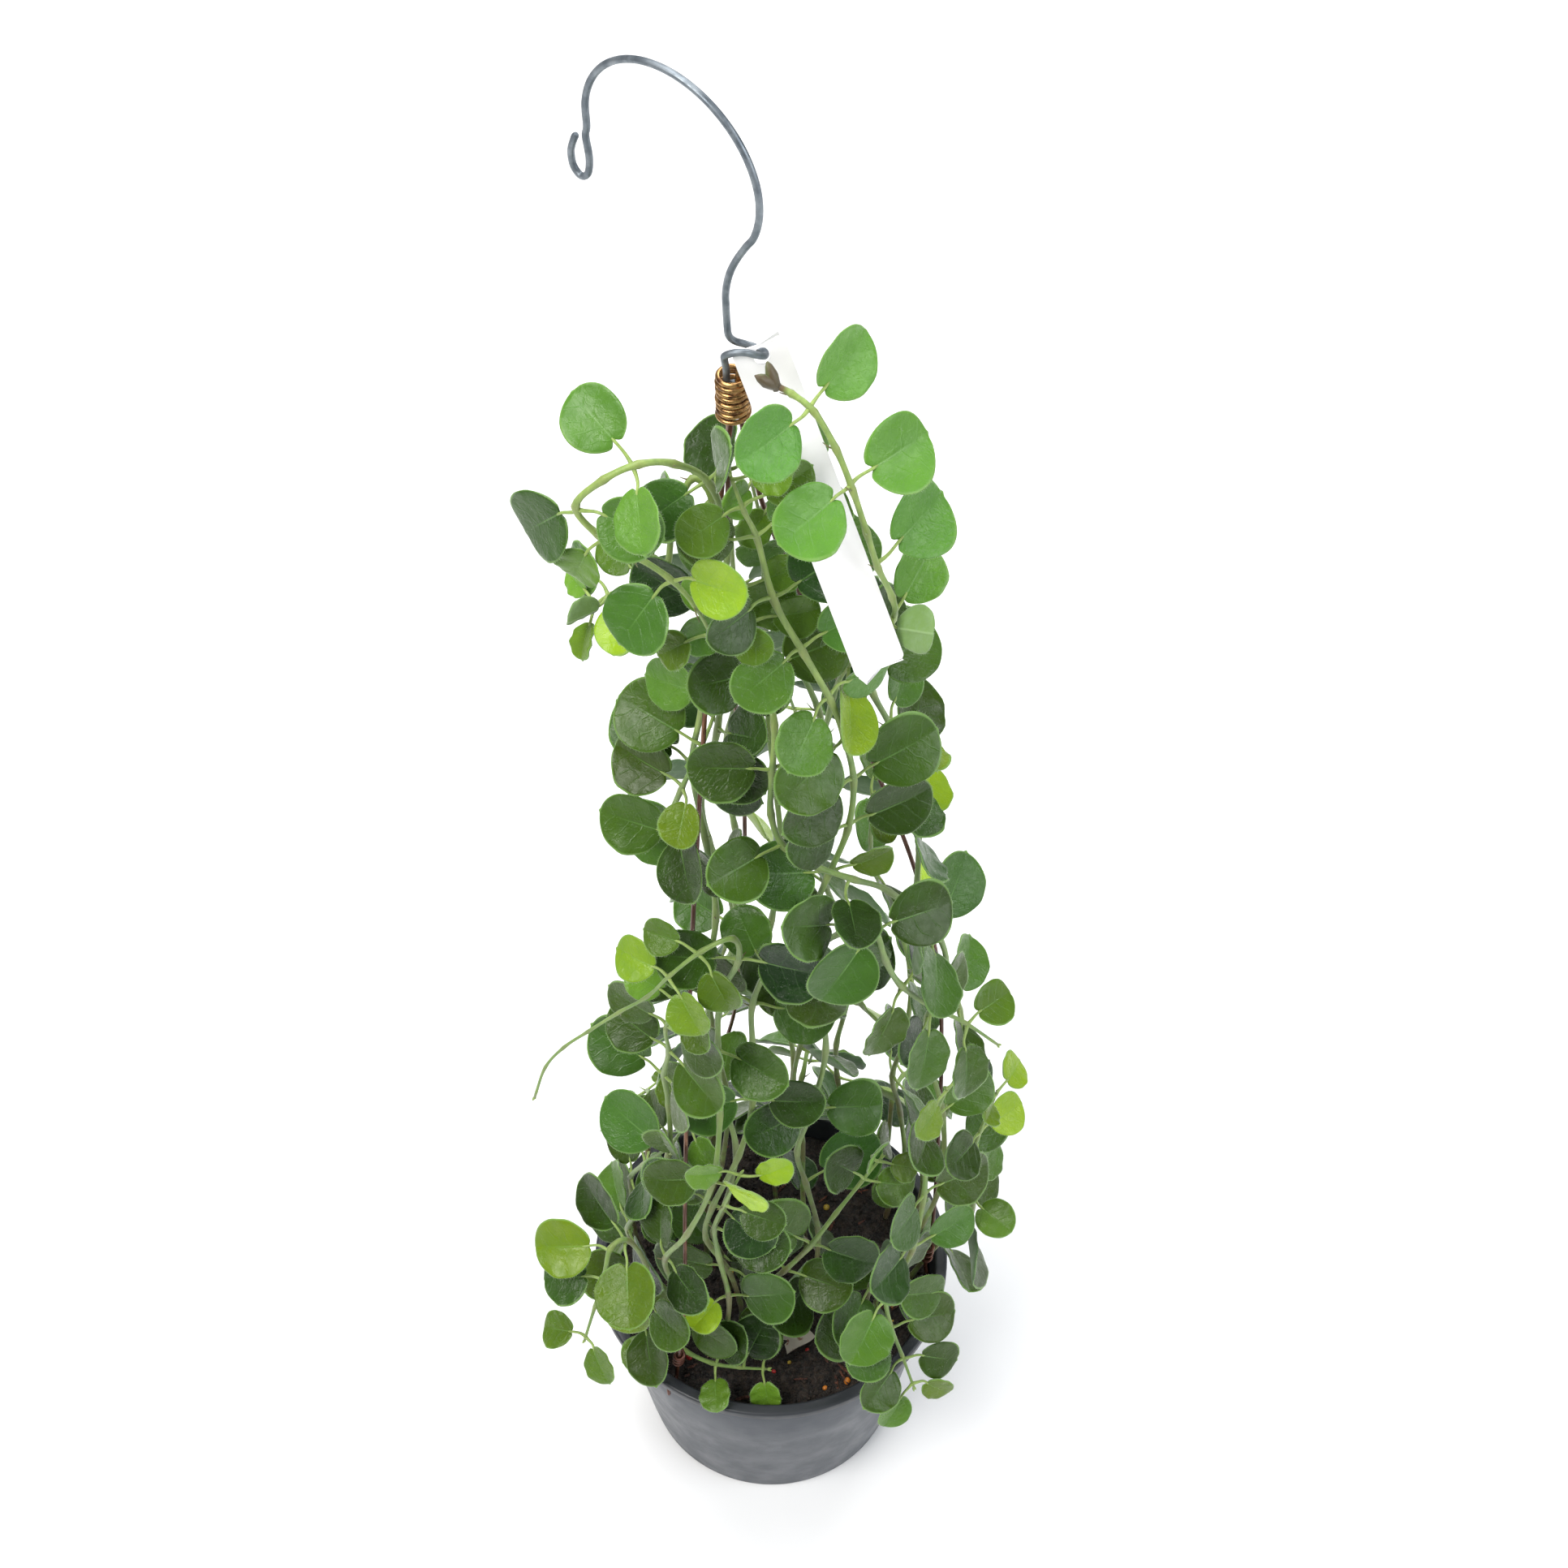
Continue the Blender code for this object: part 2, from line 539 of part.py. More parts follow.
def twined(index, points):
    """A climbing stem wound gently round its own middle line; each vine starts at another turn."""
    wound = []
    for point in points:
        spot = Vector(point) * MM
        turn = 2 * math.pi * spot.z / TWINE_PERIOD + TWINE_TURN * index
        share = min(1.0, max(0.0, spot.z - TWINE_FROM) / 0.03, max(0.0, TWINE_TO - spot.z) / 0.03)
        wound.append(spot + Vector((math.cos(turn), math.sin(turn), 0)) * TWINE_RADIUS * share)
    return wound


def nearest_between(starts_a, ends_a, starts_b, ends_b):
    """Closest points of pairs of straight spans: shares along both, and the vector from b to a."""
    along_a = ends_a - starts_a
    along_b = ends_b - starts_b
    between = starts_a - starts_b
    aa = (along_a * along_a).sum(1)
    bb = (along_b * along_b).sum(1)
    ab = (along_a * along_b).sum(1)
    a_gap = (along_a * between).sum(1)
    b_gap = (along_b * between).sum(1)
    spread = np.maximum(aa * bb - ab * ab, 1e-16)
    share_a = np.clip((ab * b_gap - a_gap * bb) / spread, 0, 1)
    share_b = np.clip((ab * share_a + b_gap) / bb, 0, 1)
    share_a = np.clip((ab * share_b - a_gap) / aa, 0, 1)
    gap = starts_a + along_a * share_a[:, None] - starts_b - along_b * share_b[:, None]
    return share_a, share_b, gap


def bend_clear(routes, fixed):
    """Bend the vines clear of each other and of the fixed wires, so that no two stems touch.

    fixed is a list of (points, space) that don't move. The first joint of a vine stays in the soil."""
    names = list(routes)
    points = np.array([p for name in names for p in routes[name]], float)
    owner = np.array([i for i, name in enumerate(names) for _ in routes[name]])
    joint = np.array([k for name in names for k in range(len(routes[name]))])
    moves = (joint > 0).astype(float)
    starts = np.array([i for i in range(len(points) - 1) if owner[i] == owner[i + 1]])
    still_a = np.array([p for line, _ in fixed for p in line[:-1]], float)
    still_b = np.array([p for line, _ in fixed for p in line[1:]], float)
    still_space = np.array([space for line, space in fixed for _ in line[:-1]])
    first, second = np.triu_indices(len(starts), 1)
    apart = owner[starts[first]] != owner[starts[second]]
    first, second = starts[first[apart]], starts[second[apart]]
    span_f, still_f = np.meshgrid(starts, np.arange(len(still_a)), indexing="ij")
    span_f, still_f = span_f.ravel(), still_f.ravel()
    for _ in range(BEND_ROUNDS):
        push = np.zeros_like(points)
        count = np.full(len(points), 1e-9)
        share_a, share_b, gap = nearest_between(points[first], points[first + 1], points[second], points[second + 1])
        size = np.maximum(np.linalg.norm(gap, axis=1), 1e-7)
        near = size < STEM_SPACE
        step = gap[near] / size[near, None] * ((STEM_SPACE - size[near]) * 0.5)[:, None]
        for index, share, sign in ((first, share_a, 1), (second, share_b, -1)):
            for end, weight in ((0, 1 - share[near]), (1, share[near])):
                np.add.at(push, index[near] + end, step * sign * weight[:, None])
                np.add.at(count, index[near] + end, weight)
        share_a, share_b, gap = nearest_between(points[span_f], points[span_f + 1], still_a[still_f],
                                                still_b[still_f])
        size = np.maximum(np.linalg.norm(gap, axis=1), 1e-7)
        near = size < still_space[still_f]
        step = gap[near] / size[near, None] * (still_space[still_f][near] - size[near])[:, None]
        for end, weight in ((0, 1 - share_a[near]), (1, share_a[near])):
            np.add.at(push, span_f[near] + end, step * weight[:, None])
            np.add.at(count, span_f[near] + end, weight)
        points += push / np.maximum(count, 1)[:, None] * 1.4 * moves[:, None]
    points = np.round(points, 5)
    return {name: [Vector(p) for p in points[owner == i]] for i, name in enumerate(names)}


# A blade's outline from its base round to its tip: share of the length, share of the half width.
BLADE_OUTLINE = [(0.0, 0.15), (0.20, 0.98), (0.74, 0.96)]


def blade_outline(base, along, face, length, width, grow=0.0):
    """Points round a leaf's edge, from the left of its base past its tip to the right, and its middle point."""
    side = face.cross(along).normalized()

    def spot(x, y):
        cup = 0.10 * width * (abs(y) / (width / 2)) ** 2 - 0.09 * length * (x / length - 0.45) ** 2
        return base + along * x + side * y + face * cup

    left = [(x * length, w * width / 2 + grow) for x, w in BLADE_OUTLINE]
    right = [(x, -y) for x, y in reversed(left)]
    outline = left + [(length * 1.03 + grow, 0.0)] + right
    return [spot(x, y) for x, y in outline], spot(length / 2, 0) - face * BLADE_DIP


def blade_probe(base, along, face, length, width):
    """The blade with its clearance all round, to find what it would come too near to."""
    points, middle = blade_outline(base, along, face, length, width, grow=BLADE_CLEARANCE)
    count = len(points)
    vertices = [p + face * BLADE_CLEARANCE for p in points] + [p - face * BLADE_CLEARANCE for p in points]
    swell = face * (BLADE_THICKNESS / 2 + BLADE_CLEARANCE)
    vertices += [middle + swell, middle - swell]
    faces = []
    for k in range(count):
        after = (k + 1) % count
        faces += [(2 * count, after, k), (2 * count + 1, count + k, count + after),
                  (k, after, count + after, count + k)]
    return vertices, faces


def leaf_solid(base, along, face, length, width, root):
    """A leaf: a petiole of three sides and a cupped blade, thick in the middle and thin at its rounded edge."""
    points, middle = blade_outline(base, along, face, length, width)
    count = len(points)
    swell = face * BLADE_THICKNESS / 2
    neck = face * PETIOLE_HALF
    vertices = [points[0] + neck] + points[1:-1] + [points[-1] + neck, middle + swell, middle - swell,
                                                   points[0] - neck, points[-1] - neck]
    over, under, low_left, low_right, end = count, count + 1, count + 2, count + 3, count + 4
    lower = [low_left] + list(range(1, count - 1)) + [low_right]
    faces = []
    for k in range(count):
        after = (k + 1) % count
        faces += [(over, after, k), (under, lower[k], lower[after])]
    way = (base - root).normalized()
    side = face.cross(along)
    across = (side - way * side.dot(way)).normalized()
    up = across.cross(way)
    if up.dot(face) < 0:
        up = -up
    for y, z in ((1, 0.8), (-1, 0.8), (0, -0.9)):
        vertices.append(root + across * y * PETIOLE_HALF + up * z * PETIOLE_HALF)
    faces += [(0, 1, low_left), (count - 2, count - 1, low_right), (count - 1, 0, end, end + 1),
              (low_right, count - 1, end + 1, end + 2), (low_left, low_right, end + 2),
              (0, low_left, end + 2, end), (end + 2, end + 1, end)]
    return vertices, faces


def light_at(point):
    """The way that leaves face at a point: outward from the plant's axis, upward and a little forward."""
    lean = NECK * ((point.z - SOIL_TOP) / (COIL_BOTTOM - SOIL_TOP))
    out = Vector((point.x - lean.x, point.y - lean.y, 0))
    if out.length < 0.004:
        out = Vector((0, -1, 0))
    out.normalize()
    return (out * 0.85 + Vector((0, -0.18, 0.62))).normalized()


def solid_tree(vertices, faces):
    return BVHTree.FromPolygons([tuple(v) for v in vertices], faces)


def place_leaves(routes, letters, obstacles):
    """Where each leaf goes: {vine: [(root, base, along, face, length, width)]}.

    Each joint's leaves spread to both sides of the stem and face the light. A leaf that would come nearer than
    BLADE_CLEARANCE to anything is turned, then made smaller, and left out if it still doesn't fit."""
    draw = random.Random(LEAF_SEED)
    trees = [(solid_tree(v, f), Vector(centre), reach, None) for v, f, centre, reach in obstacles]
    for name, route in routes.items():
        for i in range(len(route) - 1):
            middle = (route[i] + route[i + 1]) / 2
            reach = (route[i] - route[i + 1]).length / 2 + 0.001
            trees.append((solid_tree(*tube(route[i:i + 2], STEM_RADIUS, 4)), middle, reach, (name, i)))
    leaves = {name: [] for name in routes}
    for name, route in routes.items():
        for i, letter in enumerate(letters[name]):
            signs = {"b": (1, -1), "y": (1, -1), "r": (1,), "l": (-1,)}.get(letter, ())
            for sign in signs:
                leaf = fit_leaf(draw, name, route, i, sign, trees, YOUNG_SIZE if letter == "y" else 1.0)
                if leaf:
                    leaves[name].append(leaf)
    return leaves


def fit_leaf(draw, name, route, i, sign, trees, size_share):
    """One leaf at joint i, on the side that sign gives, or None where nothing fits."""
    last = i == len(route) - 1
    onward = (route[i - 1] - route[i] if last else route[i + 1] - route[i]).normalized()
    root = route[i] + onward * ROOT_OFFSET
    tangent = -onward if last else onward
    light = light_at(root)
    side = tangent.cross(light)
    if side.length < 0.2:
        side = tangent.cross(Vector((0, -1, 0.3)))
    side = side.normalized() * sign
    left_to_tip = len(route) - 1 - i
    young = size_share * ((0.62, 0.80, 0.93)[left_to_tip] if left_to_tip < 3 else 1.0)
    full_length = TOP_BLADE_LENGTH if root.z > TOP_LEAVES_FROM else BLADE_LENGTH
    for trial in range(14):
        wander = 0.22 + 0.05 * trial
        turn = Vector([draw.uniform(-1, 1) for _ in range(3)]) * wander
        tilt = Vector([draw.uniform(-1, 1) for _ in range(3)]) * (0.30 + 0.05 * trial)
        scale = draw.uniform(0.86, 1.10) * young * (1.0 if trial < 6 else 0.86 if trial < 10 else 0.72)
        length = full_length * scale
        width = length * draw.uniform(0.92, 1.04)
        stalk = (side * 0.95 + light * 0.25 + tangent * 0.15 + turn * 0.5).normalized()
        along = (side * 0.80 + light * 0.12 + tangent * 0.25 + Vector((0, 0, -0.22)) + turn).normalized()
        if along.dot(stalk) < 0.5:
            continue
        face = light + tilt
        face = (face - along * face.dot(along)).normalized()
        base = root + stalk * PETIOLE_LENGTH * draw.uniform(0.85, 1.25)
        middle = base + along * length * 0.5
        probe = solid_tree(*blade_probe(base, along, face, length, width))
        reach = length * 0.62
        flare = [PETIOLE_HALF * 1.3 + BLADE_CLEARANCE, 0.09 * width + BLADE_CLEARANCE]
        stalk_probe = solid_tree(*tube([root + stalk * 0.0016, base + along * 0.0006], flare, 5))
        own = ((name, i - 1), (name, i))
        clear = not any(
            (centre - middle).length < reach + size and probe.overlap(tree)
            or (centre - base).length < 0.008 + size and key not in own and stalk_probe.overlap(tree)
            for tree, centre, size, key in trees)
        if clear:
            mesh = leaf_solid(base, along, face, length, width, root)
            trees.append((solid_tree(*mesh), middle, reach + PETIOLE_LENGTH, None))
            return root, base, along, face, length, width
    return None


def make_vine(name, route, leaves, material):
    """One vine: its stem and all its leaves joined into one solid."""
    foot = Vector((route[0].x, route[0].y, SOIL_TOP - STEM_HOLE_DEPTH))
    points = [foot] + list(route)
    radii = [STEM_RADIUS] * (len(points) - 2) + [STEM_RADIUS * 0.8, STEM_RADIUS * 0.6]
    vine = piece(name, *tube(points, radii, STEM_SIDES), material, smooth=False)
    parts = []
    for k, (root, base, along, face, length, width) in enumerate(leaves):
        sunk = root + (base - root).normalized() * 0.00012
        parts.append(piece(f"{name}_leaf_{k}", *leaf_solid(base, along, face, length, width, sunk), smooth=False))
    if parts:
        boolean_with(vine, parts, "UNION")
    return vine


def mesh_obstacle(obj):
    """An object's mesh as (vertices, faces, centre, reach) for the leaf placing."""
    vertices = [obj.matrix_world @ v.co for v in obj.data.vertices]
    faces = [tuple(p.vertices) for p in obj.data.polygons]
    centre = sum(vertices, Vector()) / len(vertices)
    reach = max((v - centre).length for v in vertices)
    return vertices, faces, centre, reach


def make_all():
    clear_objects()
    plastic = finish("pot_plastic", (0.12, 0.13, 0.15), 0.45)
    earth = finish("soil_mix", (0.03, 0.02, 0.015), 0.95)
    brown_wire = finish("hanger_wire_finish", (0.13, 0.05, 0.02), 0.35, 0.7)
    bronze = finish("neck_coil_finish", (0.35, 0.20, 0.08), 0.3, 0.9)
    zinc = finish("hook_finish", (0.25, 0.29, 0.32), 0.4, 0.8)
    white = finish("label_plastic", (0.85, 0.85, 0.85), 0.5)
    green = finish("leaf_green", (0.05, 0.18, 0.04), 0.45)

    make_pot(plastic)
    wires = {key: wire_route(key) for key in WIRE_ANGLES}
    for key, route in wires.items():
        piece("hanger_wire_" + key, *tube(route, WIRE_RADIUS, 5), brown_wire)
    coil = coil_route()
    piece("neck_coil", *tube(coil, WIRE_RADIUS, 4), bronze)
    hook = hook_route()
    piece("hook", *tube(hook, HOOK_WIRE_RADIUS, 6), zinc)
    make_label(white)

    stations = label_frame()
    fixed = [(route, WIRE_SPACE) for route in wires.values()]
    fixed.append((hook, HOOK_SPACE))
    fixed.append(([NECK + Vector((0, 0, COIL_BOTTOM - 0.0025)), NECK + Vector((0, 0, COIL_TOP + 0.0035))],
                  COIL_SPACE))
    for share in (-0.66, 0.0, 0.66):
        fixed.append(([p + w * half * share for p, w, _, half in stations], LABEL_SPACE))
    routes = {name: twined(k, points) for k, (name, (points, _)) in enumerate(VINES.items())}
    letters = {name: marks for name, (_, marks) in VINES.items()}
    routes = bend_clear(routes, fixed)
    make_soil(earth, [(name, route[0]) for name, route in routes.items()])
    solids = [obj for obj in bpy.data.objects if obj.type == "MESH"]
    leaves = place_leaves(routes, letters, [mesh_obstacle(obj) for obj in solids])
    for name, route in routes.items():
        make_vine(name, route, leaves[name], green)


make_all()
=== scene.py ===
import json
import math
import random

import bpy
import numpy as np
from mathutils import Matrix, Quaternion, Vector
from mathutils.bvhtree import BVHTree

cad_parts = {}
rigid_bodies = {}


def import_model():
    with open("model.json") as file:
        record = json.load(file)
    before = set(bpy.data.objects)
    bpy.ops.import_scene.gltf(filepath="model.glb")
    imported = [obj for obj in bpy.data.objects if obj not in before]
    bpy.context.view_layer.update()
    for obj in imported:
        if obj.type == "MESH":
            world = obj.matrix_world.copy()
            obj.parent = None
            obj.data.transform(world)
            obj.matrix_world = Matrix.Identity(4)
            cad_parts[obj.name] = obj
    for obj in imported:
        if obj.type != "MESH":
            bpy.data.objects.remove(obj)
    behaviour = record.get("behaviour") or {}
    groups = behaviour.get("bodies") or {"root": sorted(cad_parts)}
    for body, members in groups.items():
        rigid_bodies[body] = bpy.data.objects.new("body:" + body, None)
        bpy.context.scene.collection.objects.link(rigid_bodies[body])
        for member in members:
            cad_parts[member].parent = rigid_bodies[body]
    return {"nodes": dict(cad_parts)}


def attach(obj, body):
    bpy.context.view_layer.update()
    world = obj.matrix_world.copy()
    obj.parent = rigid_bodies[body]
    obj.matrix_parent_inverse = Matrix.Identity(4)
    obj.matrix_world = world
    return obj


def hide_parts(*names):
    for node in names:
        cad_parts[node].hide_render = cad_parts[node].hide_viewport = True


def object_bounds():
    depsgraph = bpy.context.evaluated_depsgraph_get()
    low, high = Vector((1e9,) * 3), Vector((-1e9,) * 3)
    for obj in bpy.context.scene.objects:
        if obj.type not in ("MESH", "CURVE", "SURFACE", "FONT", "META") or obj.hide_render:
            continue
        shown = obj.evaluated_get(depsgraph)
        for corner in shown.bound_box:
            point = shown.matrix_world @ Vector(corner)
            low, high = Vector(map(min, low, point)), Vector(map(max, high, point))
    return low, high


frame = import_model()
cad_low, cad_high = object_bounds()

# The floor, the light and the camera.
# The pot stands on a wide pale table top under large soft lights, with a light room all round it.
# The camera looks steeply down from in front and above, as a person would who is about to lift the pot.
CAMERA_PLACE = (0.0044, -0.508, 1.024)
CAMERA_PITCH = 52.8
CAMERA_LENS = 70.8
SENSOR_WIDTH = 36.0
FLOOR_HALF = 6.0
ROOM_LIGHT = (0.93, 0.96, 1.0)
ROOM_STRENGTH = 0.20
# Each soft light: its place, its width in metres, its power in watts and its colour.
SOFT_LIGHTS = {
    "window_light": ((-0.95, -0.75, 1.65), 1.0, 31.0, (1.0, 0.98, 0.95)),
    "fill_light": ((1.15, -0.55, 0.95), 1.1, 15.0, (0.94, 0.97, 1.0)),
    "top_light": ((-0.30, 0.30, 1.65), 0.7, 13.0, (1.0, 1.0, 1.0)),
    "back_light": ((0.35, 1.15, 1.35), 1.0, 13.0, (1.0, 1.0, 1.0)),
}

camera_data = bpy.data.cameras.new("camera")
camera = bpy.data.objects.new("camera", camera_data)
bpy.context.scene.collection.objects.link(camera)
camera.location = CAMERA_PLACE
camera.rotation_euler = (math.radians(90 - CAMERA_PITCH), 0, 0)
camera_data.sensor_width = SENSOR_WIDTH
camera_data.lens = CAMERA_LENS
camera_data.clip_start = 0.02
camera_data.clip_end = 30
bpy.context.scene.camera = camera

for light_name, (place, width, watts, colour) in SOFT_LIGHTS.items():
    light_data = bpy.data.lights.new(light_name, "AREA")
    light_data.size = width
    light_data.energy = watts
    light_data.color = colour
    light = bpy.data.objects.new(light_name, light_data)
    light.location = place
    light.rotation_euler = (Vector((0, 0, 0.25)) - Vector(place)).to_track_quat("-Z", "Y").to_euler()
    bpy.context.scene.collection.objects.link(light)

room = bpy.data.worlds.new("room")
room.use_nodes = True
room.node_tree.nodes["Background"].inputs["Color"].default_value = (*ROOM_LIGHT, 1)
room.node_tree.nodes["Background"].inputs["Strength"].default_value = ROOM_STRENGTH
bpy.context.scene.world = room
bpy.context.scene.view_settings.view_transform = "Standard"


class Finish:
    """A Principled material under construction, with short calls for the nodes that this plant needs."""

    def __init__(self, name, colour, roughness, **sockets):
        self.material = bpy.data.materials.new(name)
        self.material.use_nodes = True
        self.nodes = self.material.node_tree.nodes
        self.links = self.material.node_tree.links
        self.shader = self.nodes["Principled BSDF"]
        self.set("Base Color", (*colour, 1))
        self.set("Roughness", roughness)
        for socket, value in sockets.items():
            self.set(socket.replace("_", " "), value)
        self.place = self.nodes.new("ShaderNodeTexCoord").outputs["Object"]

    def set(self, socket, value):
        self.shader.inputs[socket].default_value = value

    def into(self, socket, output):
        self.links.new(output, self.shader.inputs[socket])

    def stretched(self, x, y, z):
        """Coordinates stretched by a factor along each axis."""
        node = self.nodes.new("ShaderNodeMapping")
        node.inputs["Scale"].default_value = (x, y, z)
        self.links.new(self.place, node.inputs["Vector"])
        return node.outputs["Vector"]

    def noise(self, scale, detail=3.0, rough=0.55, where=None, twist=0.0):
        node = self.nodes.new("ShaderNodeTexNoise")
        node.inputs["Scale"].default_value = scale
        node.inputs["Detail"].default_value = detail
        node.inputs["Roughness"].default_value = rough
        node.inputs["Distortion"].default_value = twist
        self.links.new(where or self.place, node.inputs["Vector"])
        return node.outputs["Fac"]

    def cells(self, scale):
        node = self.nodes.new("ShaderNodeTexVoronoi")
        node.inputs["Scale"].default_value = scale
        self.links.new(self.place, node.inputs["Vector"])
        return node.outputs["Distance"]

    def remap(self, value, low, high, to_low=0.0, to_high=1.0):
        """A range of values eased smoothly into another range."""
        node = self.nodes.new("ShaderNodeMapRange")
        node.interpolation_type = "SMOOTHSTEP"
        numbers = {"From Min": low, "From Max": high, "To Min": to_low, "To Max": to_high}
        for socket, number in numbers.items():
            node.inputs[socket].default_value = number
        self.links.new(value, node.inputs["Value"])
        return node.outputs["Result"]

    def sum(self, operation, first, second=None):
        node = self.nodes.new("ShaderNodeMath")
        node.operation = operation
        for socket, value in zip(node.inputs, (first, second)):
            if isinstance(value, (int, float)):
                socket.default_value = value
            elif value is not None:
                self.links.new(value, socket)
        return node.outputs["Value"]

    def blend(self, factor, first, second, kind="MIX"):
        """One colour over another; each is three numbers or a colour that other nodes give."""
        node = self.nodes.new("ShaderNodeMix")
        node.data_type = "RGBA"
        node.blend_type = kind
        for socket, value in ((0, factor), (6, first), (7, second)):
            if isinstance(value, tuple):
                node.inputs[socket].default_value = (*value, 1)
            elif isinstance(value, (int, float)):
                node.inputs[socket].default_value = value
            else:
                self.links.new(value, node.inputs[socket])
        return node.outputs[2]

    def split(self, vector):
        node = self.nodes.new("ShaderNodeSeparateXYZ")
        self.links.new(vector, node.inputs["Vector"])
        return node.outputs

    def parts(self, name):
        """The three numbers that a mesh carries at each point under that name."""
        source = self.nodes.new("ShaderNodeAttribute")
        source.attribute_name = name
        return self.split(source.outputs["Vector"])

    def relief(self, height, depth, strength=1.0, under=None):
        """Bumps of that depth in metres, laid over any earlier ones; the strength is a number or a node's."""
        node = self.nodes.new("ShaderNodeBump")
        node.inputs["Distance"].default_value = depth
        if isinstance(strength, float):
            node.inputs["Strength"].default_value = strength
        else:
            self.links.new(strength, node.inputs["Strength"])
        self.links.new(height, node.inputs["Height"])
        if under:
            self.links.new(under, node.inputs["Normal"])
        self.into("Normal", node.outputs["Normal"])
        return node.outputs["Normal"]


def table_finish():
    """White lacquered board, faintly mottled."""
    paint = Finish("table_lacquer", (0.93, 0.932, 0.935), 0.6)
    tone = paint.remap(paint.noise(3.0), 0.3, 0.7)
    paint.into("Base Color", paint.blend(tone, (0.925, 0.927, 0.930), (0.940, 0.942, 0.945)))
    return paint.material


def mesh_piece(name, vertices, faces, materials, smooth=True, face_materials=None, sharp=None):
    """A mesh object from vertices and faces, with its materials and shading."""
    mesh = bpy.data.meshes.new(name)
    mesh.from_pydata([tuple(v) for v in vertices], [], [tuple(f) for f in faces])
    for material in materials:
        mesh.materials.append(material)
    if face_materials is not None:
        mesh.polygons.foreach_set("material_index", np.asarray(face_materials, np.int32))
    if smooth:
        mesh.shade_smooth()
    if sharp:
        mesh.set_sharp_from_angle(angle=math.radians(sharp))
    mesh.update()
    piece = bpy.data.objects.new(name, mesh)
    bpy.context.scene.collection.objects.link(piece)
    return piece


floor = mesh_piece("table_top", [(-FLOOR_HALF, -FLOOR_HALF, 0), (FLOOR_HALF, -FLOOR_HALF, 0),
                                 (FLOOR_HALF, FLOOR_HALF, 0), (-FLOOR_HALF, FLOOR_HALF, 0)],
                   [(0, 1, 2, 3)], [table_finish()], smooth=False)

# The pot.
# A thin round nursery pot moulded in black plastic: a tapered wall, a rolled lip that stands out over it,
# drain holes round the floor, and three small holes under the lip where the hanger wires hook in.
RIM_RADIUS = 0.0600
POT_HEIGHT = 0.0900
BASE_RADIUS = 0.0440
WALL = 0.0012
LIP_HEIGHT = 0.0034
LIP_OUT = 0.0034
POT_FLOOR = 0.0016
POT_STEPS = 144
DRAIN_HOLES = 6
DRAIN_RADIUS = 0.0035
DRAIN_RING = 0.034
WIRE_HOLE_RADIUS = 0.0013
WIRE_HOLE_HEIGHT = 0.0838
WIRE_ANGLES = {"left": 234.0, "right": -6.0, "back": 114.0}
MOULD_STEP_HEIGHT = 0.0768
MOULD_STEP = 0.00022


def wall_radius(height, inside=False):
    """The pot wall's radius at a height, outside or inside."""
    share = height / (POT_HEIGHT - LIP_HEIGHT)
    outer = BASE_RADIUS + (RIM_RADIUS - LIP_OUT - BASE_RADIUS) * share
    return outer - WALL if inside else outer


def turned(profile, steps):
    """Vertices and faces of a solid turned round Z; the profile starts and ends on the axis."""
    rings = profile[1:-1]
    vertices = [(0.0, 0.0, profile[0][1])]
    for radius, height in rings:
        for k in range(steps):
            angle = 2 * math.pi * k / steps
            vertices.append((radius * math.cos(angle), radius * math.sin(angle), height))
    vertices.append((0.0, 0.0, profile[-1][1]))
    faces = []
    for k in range(steps):
        after = (k + 1) % steps
        faces.append((0, 1 + after, 1 + k))
        for row in range(len(rings) - 1):
            low = 1 + row * steps
            faces.append((low + k, low + after, low + steps + after, low + steps + k))
        top = 1 + (len(rings) - 1) * steps
        faces.append((top + k, top + after, len(vertices) - 1))
    return vertices, faces


def corner(centre, radius, start, end, count):
    """Points round a rounded corner of a turned profile, between two angles in degrees."""
    return [(centre[0] + radius * math.cos(math.radians(start + (end - start) * k / count)),
             centre[1] + radius * math.sin(math.radians(start + (end - start) * k / count)))
            for k in range(count + 1)]


def pot_profile():
    """The pot's section from the middle of its underside out, up, over the lip and down the inside."""
    under_lip = POT_HEIGHT - LIP_HEIGHT
    step_radius = wall_radius(MOULD_STEP_HEIGHT)
    points = [(0, 0.0006), (0.0285, 0.0006), (0.0292, 0.0), (BASE_RADIUS - 0.0016, 0.0)]
    points += corner((BASE_RADIUS - 0.0016, 0.0016), 0.0016, -75, 0, 5)
    points += [(wall_radius(h), h) for h in (0.010, 0.030, 0.052, MOULD_STEP_HEIGHT - 0.0003)]
    points += [(step_radius - MOULD_STEP, MOULD_STEP_HEIGHT)]
    points += [(wall_radius(under_lip) - MOULD_STEP, under_lip)]
    points += corner((RIM_RADIUS - 0.0008, under_lip + 0.0008), 0.0008, -90, 0, 5)
    points += corner((RIM_RADIUS - 0.0010, POT_HEIGHT - 0.0010), 0.0010, 0, 90, 6)
    inner_lip = wall_radius(under_lip) + 0.0003
    points += corner((inner_lip, POT_HEIGHT - 0.0012), 0.0012, 100, 170, 5)
    points += [(wall_radius(POT_HEIGHT - 0.004, True), POT_HEIGHT - 0.004)]
    points += [(wall_radius(h, True), h) for h in (0.060, 0.030, 0.0050)]
    points += [(wall_radius(0.004, True) - 0.0012, 0.0022), (wall_radius(0.004, True) - 0.0026, POT_FLOOR)]
    return points + [(0, POT_FLOOR)]


def wire_direction(key):
    angle = math.radians(WIRE_ANGLES[key])
    return Vector((math.cos(angle), math.sin(angle), 0.0))


